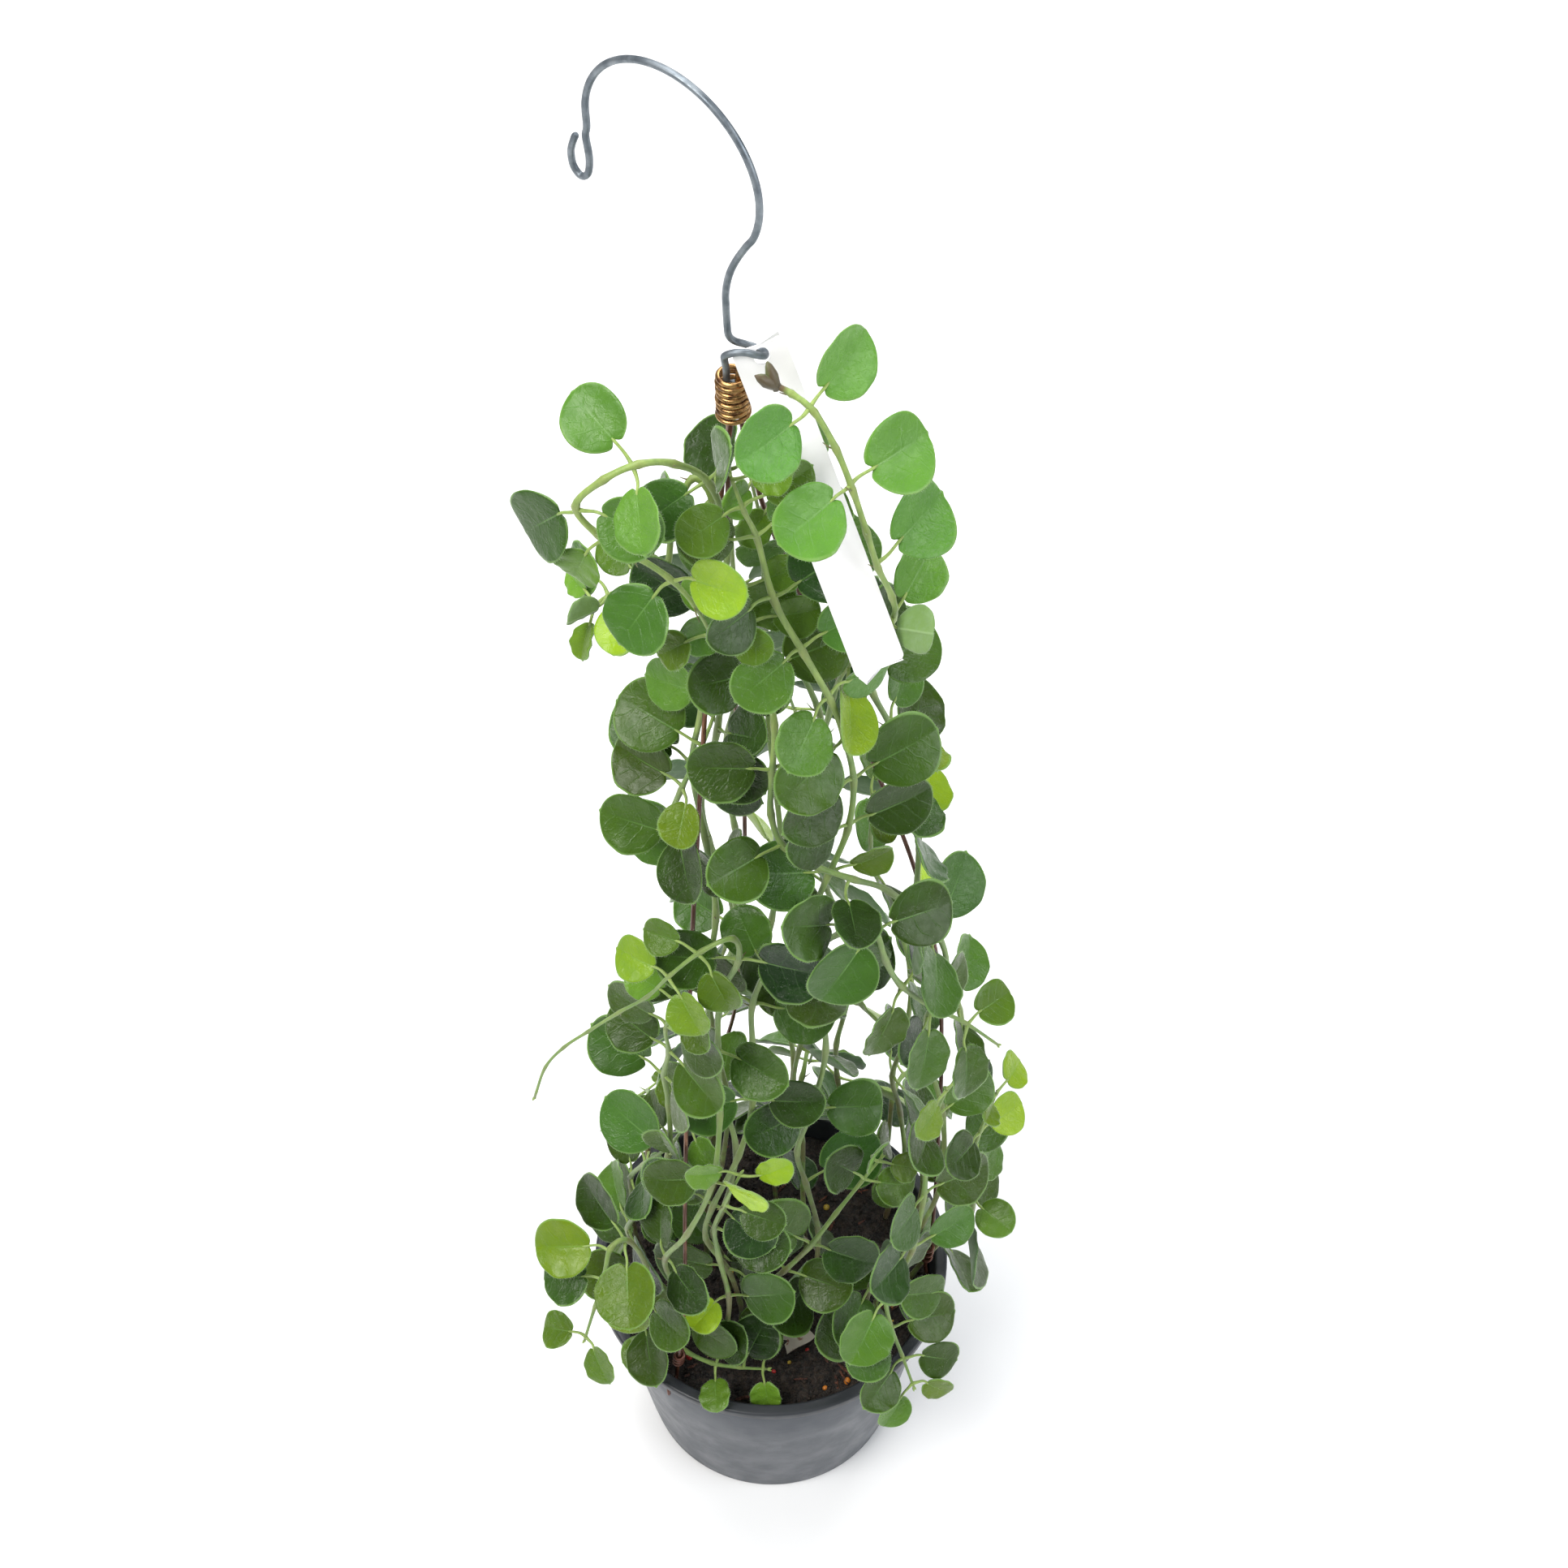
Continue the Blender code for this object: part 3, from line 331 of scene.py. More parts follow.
def tube(points, radius, sides):
    """Vertices and faces of a round wire or stem along points, closed at both ends."""
    points = [Vector(p) for p in points]
    vertices = []
    normal = None
    for i, point in enumerate(points):
        before = points[max(i - 1, 0)]
        after = points[min(i + 1, len(points) - 1)]
        tangent = (after - before).normalized()
        if normal is None:
            normal = tangent.orthogonal()
        normal = (normal - tangent * normal.dot(tangent)).normalized()
        side = tangent.cross(normal)
        r = radius[i] if isinstance(radius, (list, tuple)) else radius
        for k in range(sides):
            angle = 2 * math.pi * k / sides
            vertices.append(point + (normal * math.cos(angle) + side * math.sin(angle)) * r)
    faces = [tuple(reversed(range(sides)))]
    for i in range(len(points) - 1):
        for k in range(sides):
            after = (k + 1) % sides
            low = i * sides
            faces.append((low + k, low + after, low + sides + after, low + sides + k))
    faces.append(tuple(range(len(vertices) - sides, len(vertices))))
    return vertices, faces


def cut_holes(piece, holes, sharp):
    """Cut round holes through a piece, each given by its two ends and its radius, and shade it again."""
    group = bpy.data.collections.new(piece.name + "_holes")
    for start, end, radius in holes:
        drill = mesh_piece("drill", *tube([start, end], radius, 28), [], smooth=False)
        bpy.context.scene.collection.objects.unlink(drill)
        group.objects.link(drill)
    cut = piece.modifiers.new("holes", "BOOLEAN")
    cut.operation = "DIFFERENCE"
    cut.operand_type = "COLLECTION"
    cut.collection = group
    shape = bpy.data.meshes.new_from_object(piece.evaluated_get(bpy.context.evaluated_depsgraph_get()))
    piece.modifiers.clear()
    piece.data = shape
    for drill in list(group.objects):
        bpy.data.objects.remove(drill, do_unlink=True)
    bpy.data.collections.remove(group)
    shape.shade_smooth()
    shape.set_sharp_from_angle(angle=math.radians(sharp))


def pot_finish():
    """Black polypropylene: satin, with a fine moulded grain, rubbed paler and dusty here and there, and with
    painted shade that darkens the lip, the inside and the underside.
    """
    plastic = Finish("pot_polypropylene", (0.05, 0.055, 0.064), 0.42, IOR=1.49)
    streaks = plastic.noise(1.0, 4, where=plastic.stretched(160, 160, 14))
    dust = plastic.remap(plastic.noise(38.0, 5, 0.6), 0.46, 0.78)
    scuffs = plastic.remap(plastic.noise(1.0, 2, where=plastic.stretched(50, 50, 900)), 0.62, 0.74)
    body = plastic.blend(streaks, (0.050, 0.057, 0.069), (0.066, 0.075, 0.090))
    body = plastic.blend(plastic.sum("MULTIPLY", dust, 0.14), body, (0.13, 0.138, 0.152))
    body = plastic.blend(plastic.sum("MULTIPLY", scuffs, 0.12), body, (0.20, 0.208, 0.220))
    # Painted shade: the outer wall below the lip keeps the body colour, and the rest of the pot is painted a
    # darker black, (0.026, 0.029, 0.035). The rest is the lip, the inside and the underside.
    spot = plastic.split(plastic.place)
    from_middle = plastic.sum("SQRT", plastic.sum("ADD", plastic.sum("MULTIPLY", spot[0], spot[0]),
                                                  plastic.sum("MULTIPLY", spot[1], spot[1])))
    steep = (RIM_RADIUS - LIP_OUT - BASE_RADIUS) / (POT_HEIGHT - LIP_HEIGHT)
    past_wall = plastic.sum("SUBTRACT", from_middle, plastic.sum("MULTIPLY", spot[2], steep))
    lit_outer_wall = plastic.remap(past_wall, BASE_RADIUS - 0.0008, BASE_RADIUS - 0.0002)
    below_lip = plastic.remap(spot[2], 0.0845, 0.0862, 1.0, 0.0)
    shade = plastic.sum("MULTIPLY", lit_outer_wall, below_lip)
    plastic.into("Base Color", plastic.blend(shade, (0.026, 0.029, 0.035), body))
    plastic.into("Roughness", plastic.remap(plastic.noise(90.0, 4), 0.3, 0.7, 0.34, 0.50))
    plastic.relief(plastic.noise(1900.0, 2), 0.00004, 0.5)
    return plastic.material


pot = mesh_piece("pot_shell", *turned(pot_profile(), POT_STEPS), [pot_finish()], sharp=40)
pot_holes = []
for k in range(DRAIN_HOLES):
    turn = 2 * math.pi * (k + 0.5) / DRAIN_HOLES
    spot = Vector((DRAIN_RING * math.cos(turn), DRAIN_RING * math.sin(turn), 0))
    pot_holes.append((spot - Vector((0, 0, 0.002)), spot + Vector((0, 0, 0.004)), DRAIN_RADIUS))
for key in WIRE_ANGLES:
    spot = wire_direction(key) * wall_radius(WIRE_HOLE_HEIGHT) + Vector((0, 0, WIRE_HOLE_HEIGHT))
    reach = wire_direction(key) * 0.003
    pot_holes.append((spot - reach, spot + reach, WIRE_HOLE_RADIUS))
cut_holes(pot, pot_holes, 40)
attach(pot, "root")
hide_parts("pot")

# The soil.
# Damp peat and bark that fills the pot to a finger's breadth below the lip. Crumbs, reddish bark shreds,
# beads of slow plant feed, a flake of dry shell and a dead twig lie on it, pressed into the surface.
SOIL_TOP = 0.080
SOIL_ROUGHNESS = 0.0009
SOIL_RINGS = 44
SOIL_STEPS = 120
GAP = 0.0003
CRUMB_COUNT = 1500
SHRED_COUNT = 46
BEAD_COUNT = 34
SOIL_SEED = 31
# Red beads that lie in the open, and the middle of a tuft of fibrous bark towards the back.
OPEN_RED_BEADS = [(0.0, -0.0082), (0.0090, -0.0165), (0.0113, -0.0185), (0.0190, -0.0250), (-0.0118, -0.0281),
                  (0.0010, -0.0395), (0.030, -0.040)]
BARK_TUFT = Vector((0.030, 0.036, 0.0))
TUFT_SHREDS = 26
BEAD_COLOURS = {"red": (0.42, 0.02, 0.02), "orange": (0.62, 0.20, 0.02), "yellow": (0.66, 0.45, 0.06)}


def soil_height(x, y):
    """The soil's uneven surface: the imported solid's slow waves."""
    wave = math.sin(x * 610 + 1.3) * math.cos(y * 540 - 0.4) + 0.6 * math.sin((x - y) * 990)
    return SOIL_TOP + SOIL_ROUGHNESS * wave


def soil_crumble(x, y):
    """Small lumps on top of the slow waves."""
    fine = math.sin(x * 2300 + 2 * math.sin(y * 1700)) * math.sin(y * 2600 + 1.7 * math.sin(x * 1900))
    return soil_height(x, y) + 0.00045 * fine


def earth_finish(name, dark, light, roughness=0.9):
    """Damp peat: near black, browner on the lumps."""
    earth = Finish(name, dark, roughness)
    lumps = earth.noise(420.0, 6, 0.7)
    earth.into("Base Color", earth.blend(earth.remap(lumps, 0.40, 0.68), dark, light))
    earth.into("Roughness", earth.remap(earth.noise(700.0, 3), 0.35, 0.65, 0.55, 0.98))
    grit = earth.relief(lumps, 0.0011, 0.9)
    earth.relief(earth.cells(1300.0), 0.0005, 0.6, under=grit)
    return earth.material


def soil_body():
    """The soil down to the pot's floor, with a lumpy top."""
    profile = [(0, POT_FLOOR + GAP), (wall_radius(0.004, True) - 0.0032, POT_FLOOR + GAP),
               (wall_radius(0.006, True) - GAP, 0.006), (wall_radius(0.040, True) - GAP, 0.040),
               (wall_radius(SOIL_TOP - 0.0015, True) - GAP, SOIL_TOP - 0.0015)]
    edge = wall_radius(SOIL_TOP, True) - GAP - 0.0006
    sides = len(profile) - 1
    profile += [(edge * (1 - ring / SOIL_RINGS), SOIL_TOP) for ring in range(SOIL_RINGS)] + [(0, SOIL_TOP)]
    vertices, faces = turned(profile, SOIL_STEPS)
    lumpy = []
    for index, (x, y, z) in enumerate(vertices):
        on_top = index > sides * SOIL_STEPS
        lumpy.append((x, y, soil_crumble(x, y) if on_top else z))
    return lumpy, faces


def scatter_spots(draw, count, reach, size):
    """Seeded places on the soil, as (place, turn) pairs, inside that radius."""
    spots = []
    for _ in range(count):
        radius = reach * math.sqrt(draw.random())
        angle = draw.uniform(0, 2 * math.pi)
        x, y = radius * math.cos(angle), radius * math.sin(angle)
        spots.append((Vector((x, y, soil_crumble(x, y) + size * draw.uniform(0.0, 0.5))), angle * 7))
    return spots


# A lump's eight corners and six sides, used for crumbs of peat and flakes of bark.
LUMP_CORNERS = [(-1, -1, -1), (1, -1, -1), (1, 1, -1), (-1, 1, -1),
                (-1, -1, 1), (1, -1, 1), (1, 1, 1), (-1, 1, 1)]
LUMP_SIDES = [(0, 3, 2, 1), (4, 5, 6, 7), (0, 1, 5, 4), (1, 2, 6, 5), (2, 3, 7, 6), (3, 0, 4, 7)]


def lumps(draw, spots, long, broad, thick, tilt):
    """Rough little blocks, each with its own size, lean and knocked corners."""
    vertices, faces = [], []
    for place, turn in spots:
        scale = draw.uniform(0.5, 1.0)
        ahead = Vector((math.cos(turn), math.sin(turn), draw.uniform(-tilt, tilt))).normalized()
        across = ahead.cross(Vector((draw.uniform(-tilt, tilt), draw.uniform(-tilt, tilt), 1))).normalized()
        up = across.cross(ahead) * -1
        low = len(vertices)
        for x, y, z in LUMP_CORNERS:
            bent = Vector([draw.uniform(0.55, 1.0) for _ in range(3)]) * scale
            vertices.append(place + ahead * x * long * bent.x + across * y * broad * bent.y
                            + up * z * thick * bent.z)
        faces += [tuple(low + i for i in side) for side in LUMP_SIDES]
    return vertices, faces


def soft_piece(name, shape, material, levels):
    """A piece whose blocky cage is rounded off by subdivision."""
    piece = mesh_piece(name, *shape, [material])
    rounding = piece.modifiers.new("rounding", "SUBSURF")
    rounding.levels = levels
    rounding.render_levels = levels
    return piece


soil_draw = random.Random(SOIL_SEED)
soil_reach = wall_radius(SOIL_TOP, True) - 0.0035
peat = earth_finish("damp_peat", (0.008, 0.006, 0.005), (0.045, 0.030, 0.021))
bark = earth_finish("bark_shreds", (0.050, 0.018, 0.011), (0.16, 0.060, 0.034), 0.8)
soil = mesh_piece("soil_fill", *soil_body(), [peat])
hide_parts("soil")
crumbs = soft_piece("soil_crumbs", lumps(soil_draw, scatter_spots(soil_draw, CRUMB_COUNT, soil_reach, 0.0006),
                                         0.0014, 0.0011, 0.0009, 0.8), peat, 1)
shreds = soft_piece("bark_shreds", lumps(soil_draw, scatter_spots(soil_draw, SHRED_COUNT, soil_reach, 0.0010),
                                         0.0058, 0.0012, 0.00045, 0.35), bark, 1)
tuft_spots = [(place + BARK_TUFT + Vector((0, 0, soil_draw.uniform(0, 0.004))), turn)
              for place, turn in scatter_spots(soil_draw, TUFT_SHREDS, 0.009, 0.0010)]
red_bark = earth_finish("red_bark", (0.12, 0.032, 0.018), (0.27, 0.10, 0.055), 0.8)
tuft = soft_piece("bark_tuft", lumps(soil_draw, tuft_spots, 0.0062, 0.0008, 0.00045, 0.7), red_bark, 1)
soil_pieces = [soil, crumbs, shreds, tuft]

bead_spots = scatter_spots(soil_draw, BEAD_COUNT, soil_reach, 0.0012)
red_spots = [(Vector((x, y, soil_crumble(x, y) + 0.0012)), 40 * x) for x, y in OPEN_RED_BEADS]
for index, (colour_name, colour) in enumerate(BEAD_COLOURS.items()):
    coat = Finish(f"plant_feed_{colour_name}", colour, 0.35)
    coat.into("Base Color", coat.blend(coat.remap(coat.noise(900.0), 0.35, 0.7), colour,
                                       tuple(c * 0.45 for c in colour)))
    coat.relief(coat.noise(1500.0), 0.0002, 0.5)
    beads = soft_piece(f"feed_beads_{colour_name}",
                       lumps(soil_draw, bead_spots[index::3] + (red_spots if colour_name == "red" else []),
                             0.0019, 0.0018, 0.0017, 0.6), coat.material, 2)
    soil_pieces.append(beads)


def sheet_faces(rows, columns):
    """Faces of a thin closed sheet whose upper grid of points comes first and its lower grid after it."""
    count = rows * columns
    faces = []
    for i in range(rows - 1):
        for j in range(columns - 1):
            low = i * columns + j
            top = (low, low + columns, low + columns + 1, low + 1)
            faces += [top, tuple(count + v for v in reversed(top))]
    rim = [i * columns for i in range(rows)] + [count - columns + j for j in range(1, columns)]
    rim += [(i + 1) * columns - 1 for i in range(rows - 2, -1, -1)] + list(range(columns - 2, 0, -1))
    return faces + [(b, a, a + count, b + count) for a, b in zip(rim, rim[1:] + rim[:1])]


def shell_flake():
    """A curled pale flake, about 11 mm long, that lies in the open between the stems."""
    centre = Vector((0.0090, -0.0270, 0.0))
    vertices = []
    for layer in (1, -1):
        for i in range(9):
            for j in range(7):
                x = (i / 8 - 0.5) * 0.0115 * (1 - 0.25 * (j / 6))
                y = (j / 6 - 0.5) * 0.0082 * (1 - 0.5 * (i / 8) ** 3)
                curl = 0.0012 * math.cos(x * 300) + 0.0004 * math.sin(y * 900 + x * 400)
                spot = centre + Vector((x * 0.9 - y * 0.4, x * 0.4 + y * 0.9, 0))
                height = soil_height(centre.x, centre.y) + 0.0016 + curl + 0.0002 * layer
                vertices.append((spot.x, spot.y, height))
    return vertices, sheet_faces(9, 7)


flake_finish = Finish("dry_shell", (0.46, 0.40, 0.33), 0.75)
flake_spots = flake_finish.remap(flake_finish.noise(420.0, 4), 0.56, 0.66)
flake_finish.into("Base Color", flake_finish.blend(flake_spots, (0.50, 0.45, 0.38), (0.24, 0.11, 0.07)))
flake_finish.relief(flake_finish.noise(900.0), 0.0003, 0.5)
soil_pieces.append(mesh_piece("shell_flake", *shell_flake(), [flake_finish.material], sharp=50))

straw = Finish("dead_twig", (0.42, 0.36, 0.29), 0.7)
straw.into("Base Color", straw.blend(straw.noise(500.0), (0.30, 0.24, 0.18), (0.56, 0.50, 0.43)))
straw.relief(straw.noise(1.0, 3, where=straw.stretched(400, 400, 2500)), 0.0002, 0.4)
TWIG_ROUTE = [(0.0030, 0.0088, 0.0980), (0.0066, 0.0066, 0.0960), (0.0102, 0.0052, 0.0936),
              (0.0140, 0.0032, 0.0902), (0.0176, 0.0012, 0.0862), (0.0210, -0.0008, 0.0806)]
TWIG_RADII = [0.00035, 0.00050, 0.00055, 0.00060, 0.00065, 0.00070]
soil_pieces.append(mesh_piece("dead_twig", *tube(TWIG_ROUTE, TWIG_RADII, 8), [straw.material]))
for piece in soil_pieces:
    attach(piece, "root")

# The hanger wires.
# Three lengths of brown lacquered wire. Each is hooked through a hole under the lip, bows out round the vines
# and runs up into the wound neck with the others.
MM = 0.001
WIRE_RADIUS = 0.00065
NECK = Vector((-0.0075, 0.0, 0.0))
WIRE_SIDES = 12
WRAP_TURNS = 3
WRAP_STEPS = 14
WRAP_RADIUS = 0.00142
# Each wire's way up from the pot to the neck, in millimetres.
WIRE_ROUTES = {
    "left": [(-29, -46, 115), (-27, -44, 150), (-26, -41, 190), (-24, -36, 250), (-21, -30, 320),
             (-17, -23, 390), (-13, -14, 450), (-10, -6, 485)],
    "right": [(54, -3, 115), (54, -1, 160), (53, 0, 215), (50, 0, 265), (42, 0, 312), (31, 0, 355),
              (15, 0, 412), (1, 0, 460), (-4, 0.4, 485)],
    "back": [(-21, 46, 115), (-16, 40, 155), (-11, 33, 195), (-8, 27, 250), (-7, 21, 320), (-9, 14, 378),
             (-10, 8, 430), (-9, 3.6, 480)],
}


def smooth_route(points, per_span):
    """Points on a smooth curve through the given ones."""
    points = [Vector(p) for p in points]
    ends = [points[0] * 2 - points[1]] + points + [points[-1] * 2 - points[-2]]
    route = []
    for i in range(1, len(ends) - 2):
        a, b, c, d = ends[i - 1], ends[i], ends[i + 1], ends[i + 2]
        for k in range(per_span):
            t = k / per_span
            route.append(0.5 * (2 * b + (c - a) * t + (2 * a - 5 * b + 4 * c - d) * t * t
                                + (3 * b - 3 * c + d - a) * t ** 3))
    route.append(points[-1])
    return route


def wire_route(key, per_span=8):
    """A hanger wire: its foot through the pot wall, its bowed way up and its end inside the coil."""
    way = wire_direction(key)
    rise = Vector((0, 0, 1))
    height = WIRE_HOLE_HEIGHT
    outer = wall_radius(height) + WIRE_RADIUS + 0.0011
    inner = wall_radius(height, inside=True) - WIRE_RADIUS - 0.0010
    foot = [way * outer + rise * (height - 0.0046), way * outer + rise * (height - 0.0014),
            way * (outer - 0.0012) + rise * height, way * (inner + 0.0012) + rise * height,
            way * inner + rise * (height + 0.0016), way * (inner - 0.0008) + rise * (height + 0.008)]
    ends = {"left": (-0.7, -1.8), "right": (1.9, 0.3), "back": (-1.2, 1.5)}[key]
    inside_coil = NECK + Vector((ends[0] * MM, ends[1] * MM, 0))
    top = [inside_coil + rise * 0.4965, inside_coil + rise * 0.5062]
    bowed = [Vector(p) * MM for p in WIRE_ROUTES[key]]
    return foot[:-1] + smooth_route([foot[-1]] + bowed + top, per_span)


def lacquer_finish():
    """Brown lacquer over steel wire, worn to a coppery gleam along its length."""
    lacquer = Finish("brown_lacquered_wire", (0.13, 0.05, 0.028), 0.34, Metallic=0.55)
    wear = lacquer.remap(lacquer.noise(1.0, 4, where=lacquer.stretched(300, 300, 60)), 0.50, 0.75)
    lacquer.into("Base Color", lacquer.blend(wear, (0.085, 0.030, 0.018), (0.25, 0.115, 0.060)))
    lacquer.into("Roughness", lacquer.remap(lacquer.noise(260.0), 0.3, 0.7, 0.26, 0.48))
    lacquer.relief(lacquer.noise(1.0, 2, where=lacquer.stretched(1500, 1500, 200)), 0.00003, 0.5)
    return lacquer.material


def wound_end(key):
    """The wire's end, bent back at its foot and wound round its own shaft, with the tip left standing off."""
    line = wire_route(key)[5:]
    low, high = line[1], line[6]
    ahead = (high - low).normalized()
    side = ahead.orthogonal().normalized()
    other = ahead.cross(side)
    points = []
    for k in range(WRAP_STEPS * WRAP_TURNS + 1):
        angle = 2 * math.pi * k / WRAP_STEPS
        spot = low.lerp(high, 0.62 * k / (WRAP_STEPS * WRAP_TURNS))
        points.append(spot + (side * math.cos(angle) + other * math.sin(angle)) * WRAP_RADIUS)
    return points + [points[-1] + side * 0.0008 + other * 0.0016 + ahead * 0.0003,
                     points[-1] + side * 0.0026 + other * 0.0024 + ahead * 0.0009]


brown_lacquer = lacquer_finish()
for key in WIRE_ROUTES:
    wrap = mesh_piece(f"wire_{key}_wrap", *tube(wound_end(key), WIRE_RADIUS, WIRE_SIDES), [brown_lacquer],
                      sharp=50)
    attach(wrap, "root")
    wire = mesh_piece(f"wire_{key}", *tube(wire_route(key), WIRE_RADIUS, WIRE_SIDES), [brown_lacquer],
                      sharp=50)
    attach(wire, "root")
    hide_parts(f"hanger_wire_{key}")

# The neck.
# A length of bronze-coloured wire wound tightly round the ends of the three hanger wires and the hook's foot.
# Its own end arches over that foot in the mouth of the winding.
COIL_RADIUS = 0.0037
COIL_PITCH = 0.00175
COIL_TURNS = 8
COIL_BOTTOM = 0.4985
COIL_TOP = COIL_BOTTOM + COIL_PITCH * COIL_TURNS
COIL_STEPS = 30
HOOK_YAW = 39.0
# The end of the winding: an arch in its mouth, in millimetres from the neck's axis.
COIL_ARCH = [(2.3, 1.7, 514.4), (2.0, 0.3, 515.5), (1.7, -1.0, 515.3), (1.3, -1.7, 513.6), (1.1, -1.8, 511.6)]


def coil_route():
    """Round turns of wire, then the end that arches over the hook's foot."""
    start = math.radians(90 - HOOK_YAW)
    turns = []
    for k in range(COIL_TURNS * COIL_STEPS + 1):
        angle = start + 2 * math.pi * k / COIL_STEPS
        height = COIL_BOTTOM + COIL_PITCH * k / COIL_STEPS
        radius = COIL_RADIUS - 0.00008 + 0.00012 * math.sin(angle * 0.37)
        turns.append(NECK + Vector((radius * math.cos(angle), radius * math.sin(angle), height)))
    return turns[:-1] + smooth_route([turns[-1]] + [NECK + Vector(p) * MM for p in COIL_ARCH], 5)


def bronze_finish():
    """Bronze-coloured craft wire, darker in random patches of tarnish and bright between them."""
    bronze = Finish("bronze_wire", (0.40, 0.22, 0.085), 0.28, Metallic=0.9)
    tarnish = bronze.remap(bronze.noise(520.0, 4), 0.42, 0.7)
    bronze.into("Base Color", bronze.blend(tarnish, (0.50, 0.29, 0.115), (0.13, 0.060, 0.028)))
    bronze.into("Roughness", bronze.remap(bronze.noise(800.0), 0.3, 0.7, 0.2, 0.42))
    return bronze.material


coil = mesh_piece("neck_winding", *tube(coil_route(), WIRE_RADIUS, WIRE_SIDES), [bronze_finish()], sharp=50)
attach(coil, "root")
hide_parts("neck_coil")

# The hook.
# Galvanised wire bent cold: a foot held in the winding, a small ring that the label hangs on, a short stem
# with a kink, a wide round bend to hang by and a teardrop turned at the free end so that it can't scratch.
HOOK_WIRE_RADIUS = 0.00088
HOOK_BEND_RADIUS = 0.0251
HOOK_BEND_CENTRE = (0.0166, 0.5673)
HOOK_SIDES = 14
# The hook's lower end in millimetres: its foot inside the winding, the strand up through the winding's mouth,
# the ring that the label hangs on and the start of the stem.
HOOK_RING = [(-6.6, 0.6, 508.9), (-8.2, -0.4, 509.1), (-8.9, -0.9, 510.8), (-8.95, -1.0, 514.5),
             (-9.3, -1.7, 518.4), (-9.1, -3.0, 520.9), (-6.8, -3.9, 522.7), (-4.2, -3.9, 522.7),
             (-1.9, -3.1, 521.2), (-0.1, -1.4, 519.2), (0.0, 1.0, 518.0), (-1.8, 2.7, 517.7),
             (-4.6, 3.2, 518.5), (-7.0, 2.5, 520.2), (-8.3, 1.5, 523.0)]
# The stem and the turned free end in the hook's own plane: outward from the neck and up, in millimetres.
HOOK_STEM = [(1.4, 527.0), (1.6, 532.0), (1.6, 537.0), (0.6, 542.5), (-1.4, 548.0), (-4.4, 554.0)]
HOOK_TIP = [(42.0, 560.6), (41.3, 554.5), (42.0, 549.6), (44.2, 547.6),
            (46.4, 549.4), (46.9, 553.4), (45.9, 557.2), (44.9, 559.6)]


def hook_joints():
    """The hook's bends in space, from its foot in the winding to its free end."""
    yaw = math.radians(HOOK_YAW)
    along = Vector((-math.cos(yaw), math.sin(yaw), 0))
    bend = []
    for degrees in range(200, -9, -16):
        angle = math.radians(degrees)
        bend.append((HOOK_BEND_CENTRE[0] + HOOK_BEND_RADIUS * math.cos(angle),
                     HOOK_BEND_CENTRE[1] + HOOK_BEND_RADIUS * math.sin(angle)))
    flat = [(u * MM, z * MM) for u, z in HOOK_STEM] + bend + [(u * MM, z * MM) for u, z in HOOK_TIP]
    return [Vector(p) * MM for p in HOOK_RING] + [NECK + along * u + Vector((0, 0, z)) for u, z in flat]


def zinc_finish():
    """Dull grey-blue zinc with faint drawing marks and a paler bloom."""
    zinc = Finish("galvanised_wire", (0.26, 0.30, 0.33), 0.42, Metallic=0.7)
    bloom = zinc.remap(zinc.noise(240.0, 5), 0.38, 0.68)
    zinc.into("Base Color", zinc.blend(bloom, (0.13, 0.155, 0.18), (0.23, 0.26, 0.285)))
    zinc.into("Roughness", zinc.remap(zinc.noise(500.0), 0.3, 0.7, 0.34, 0.56))
    zinc.relief(zinc.noise(1.0, 2, where=zinc.stretched(2200, 2200, 300)), 0.00004, 0.5)
    return zinc.material


def rounded_ends(route, radius):
    """Radii along a route that close in over its first and last points, for a cropped and dulled wire end."""
    radii = [radius] * len(route)
    for k, share in enumerate((0.55, 0.9)):
        radii[k] = radius * share
        radii[-1 - k] = radius * share
    return radii


hook_line = smooth_route(hook_joints(), 5)
hook = mesh_piece("hook_wire", *tube(hook_line, rounded_ends(hook_line, HOOK_WIRE_RADIUS), HOOK_SIDES),
                  [zinc_finish()], sharp=50)
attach(hook, "root")
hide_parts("hook")

# The label.
# A blank strip of white plastic with rounded corners. It hangs on the hook's ring by a hole near its upper
# end and is cupped a little across its width.
LABEL_THICKNESS = 0.0005
LABEL_WIDTH = 0.0128
LABEL_CORNER = 0.0009
LABEL_HOLE_RADIUS = 0.0020
LABEL_COLUMNS = 13
LABEL_ROUNDING = 0.0011
# The label's middle line from its upper end on the hook's ring down to its free end, in millimetres.
LABEL_ROUTE = [(-1.7, -0.8, 522.2), (-1.4, -1.2, 521.4), (1.5, -4.5, 514.1), (5.2, -8.8, 504.6),
               (9.6, -13.8, 493.4), (14.0, -18.7, 482.0), (18.5, -23.6, 470.2), (23.1, -28.6, 458.1),
               (27.4, -33.1, 446.6), (27.8, -33.5, 445.7)]
LABEL_HOLE_SPOT = (-0.65, -1.90, 519.8)
# The way across the label's width.
LABEL_ACROSS = (0.93, 0.33, 0.16)


def label_half_width(to_end):
    """Half the label's width at a distance from its nearer end: straight edges with rounded corners."""
    into = max(0.0, 1 - to_end / LABEL_ROUNDING)
    return LABEL_WIDTH / 2 - LABEL_ROUNDING * (1 - math.sqrt(1 - into * into))


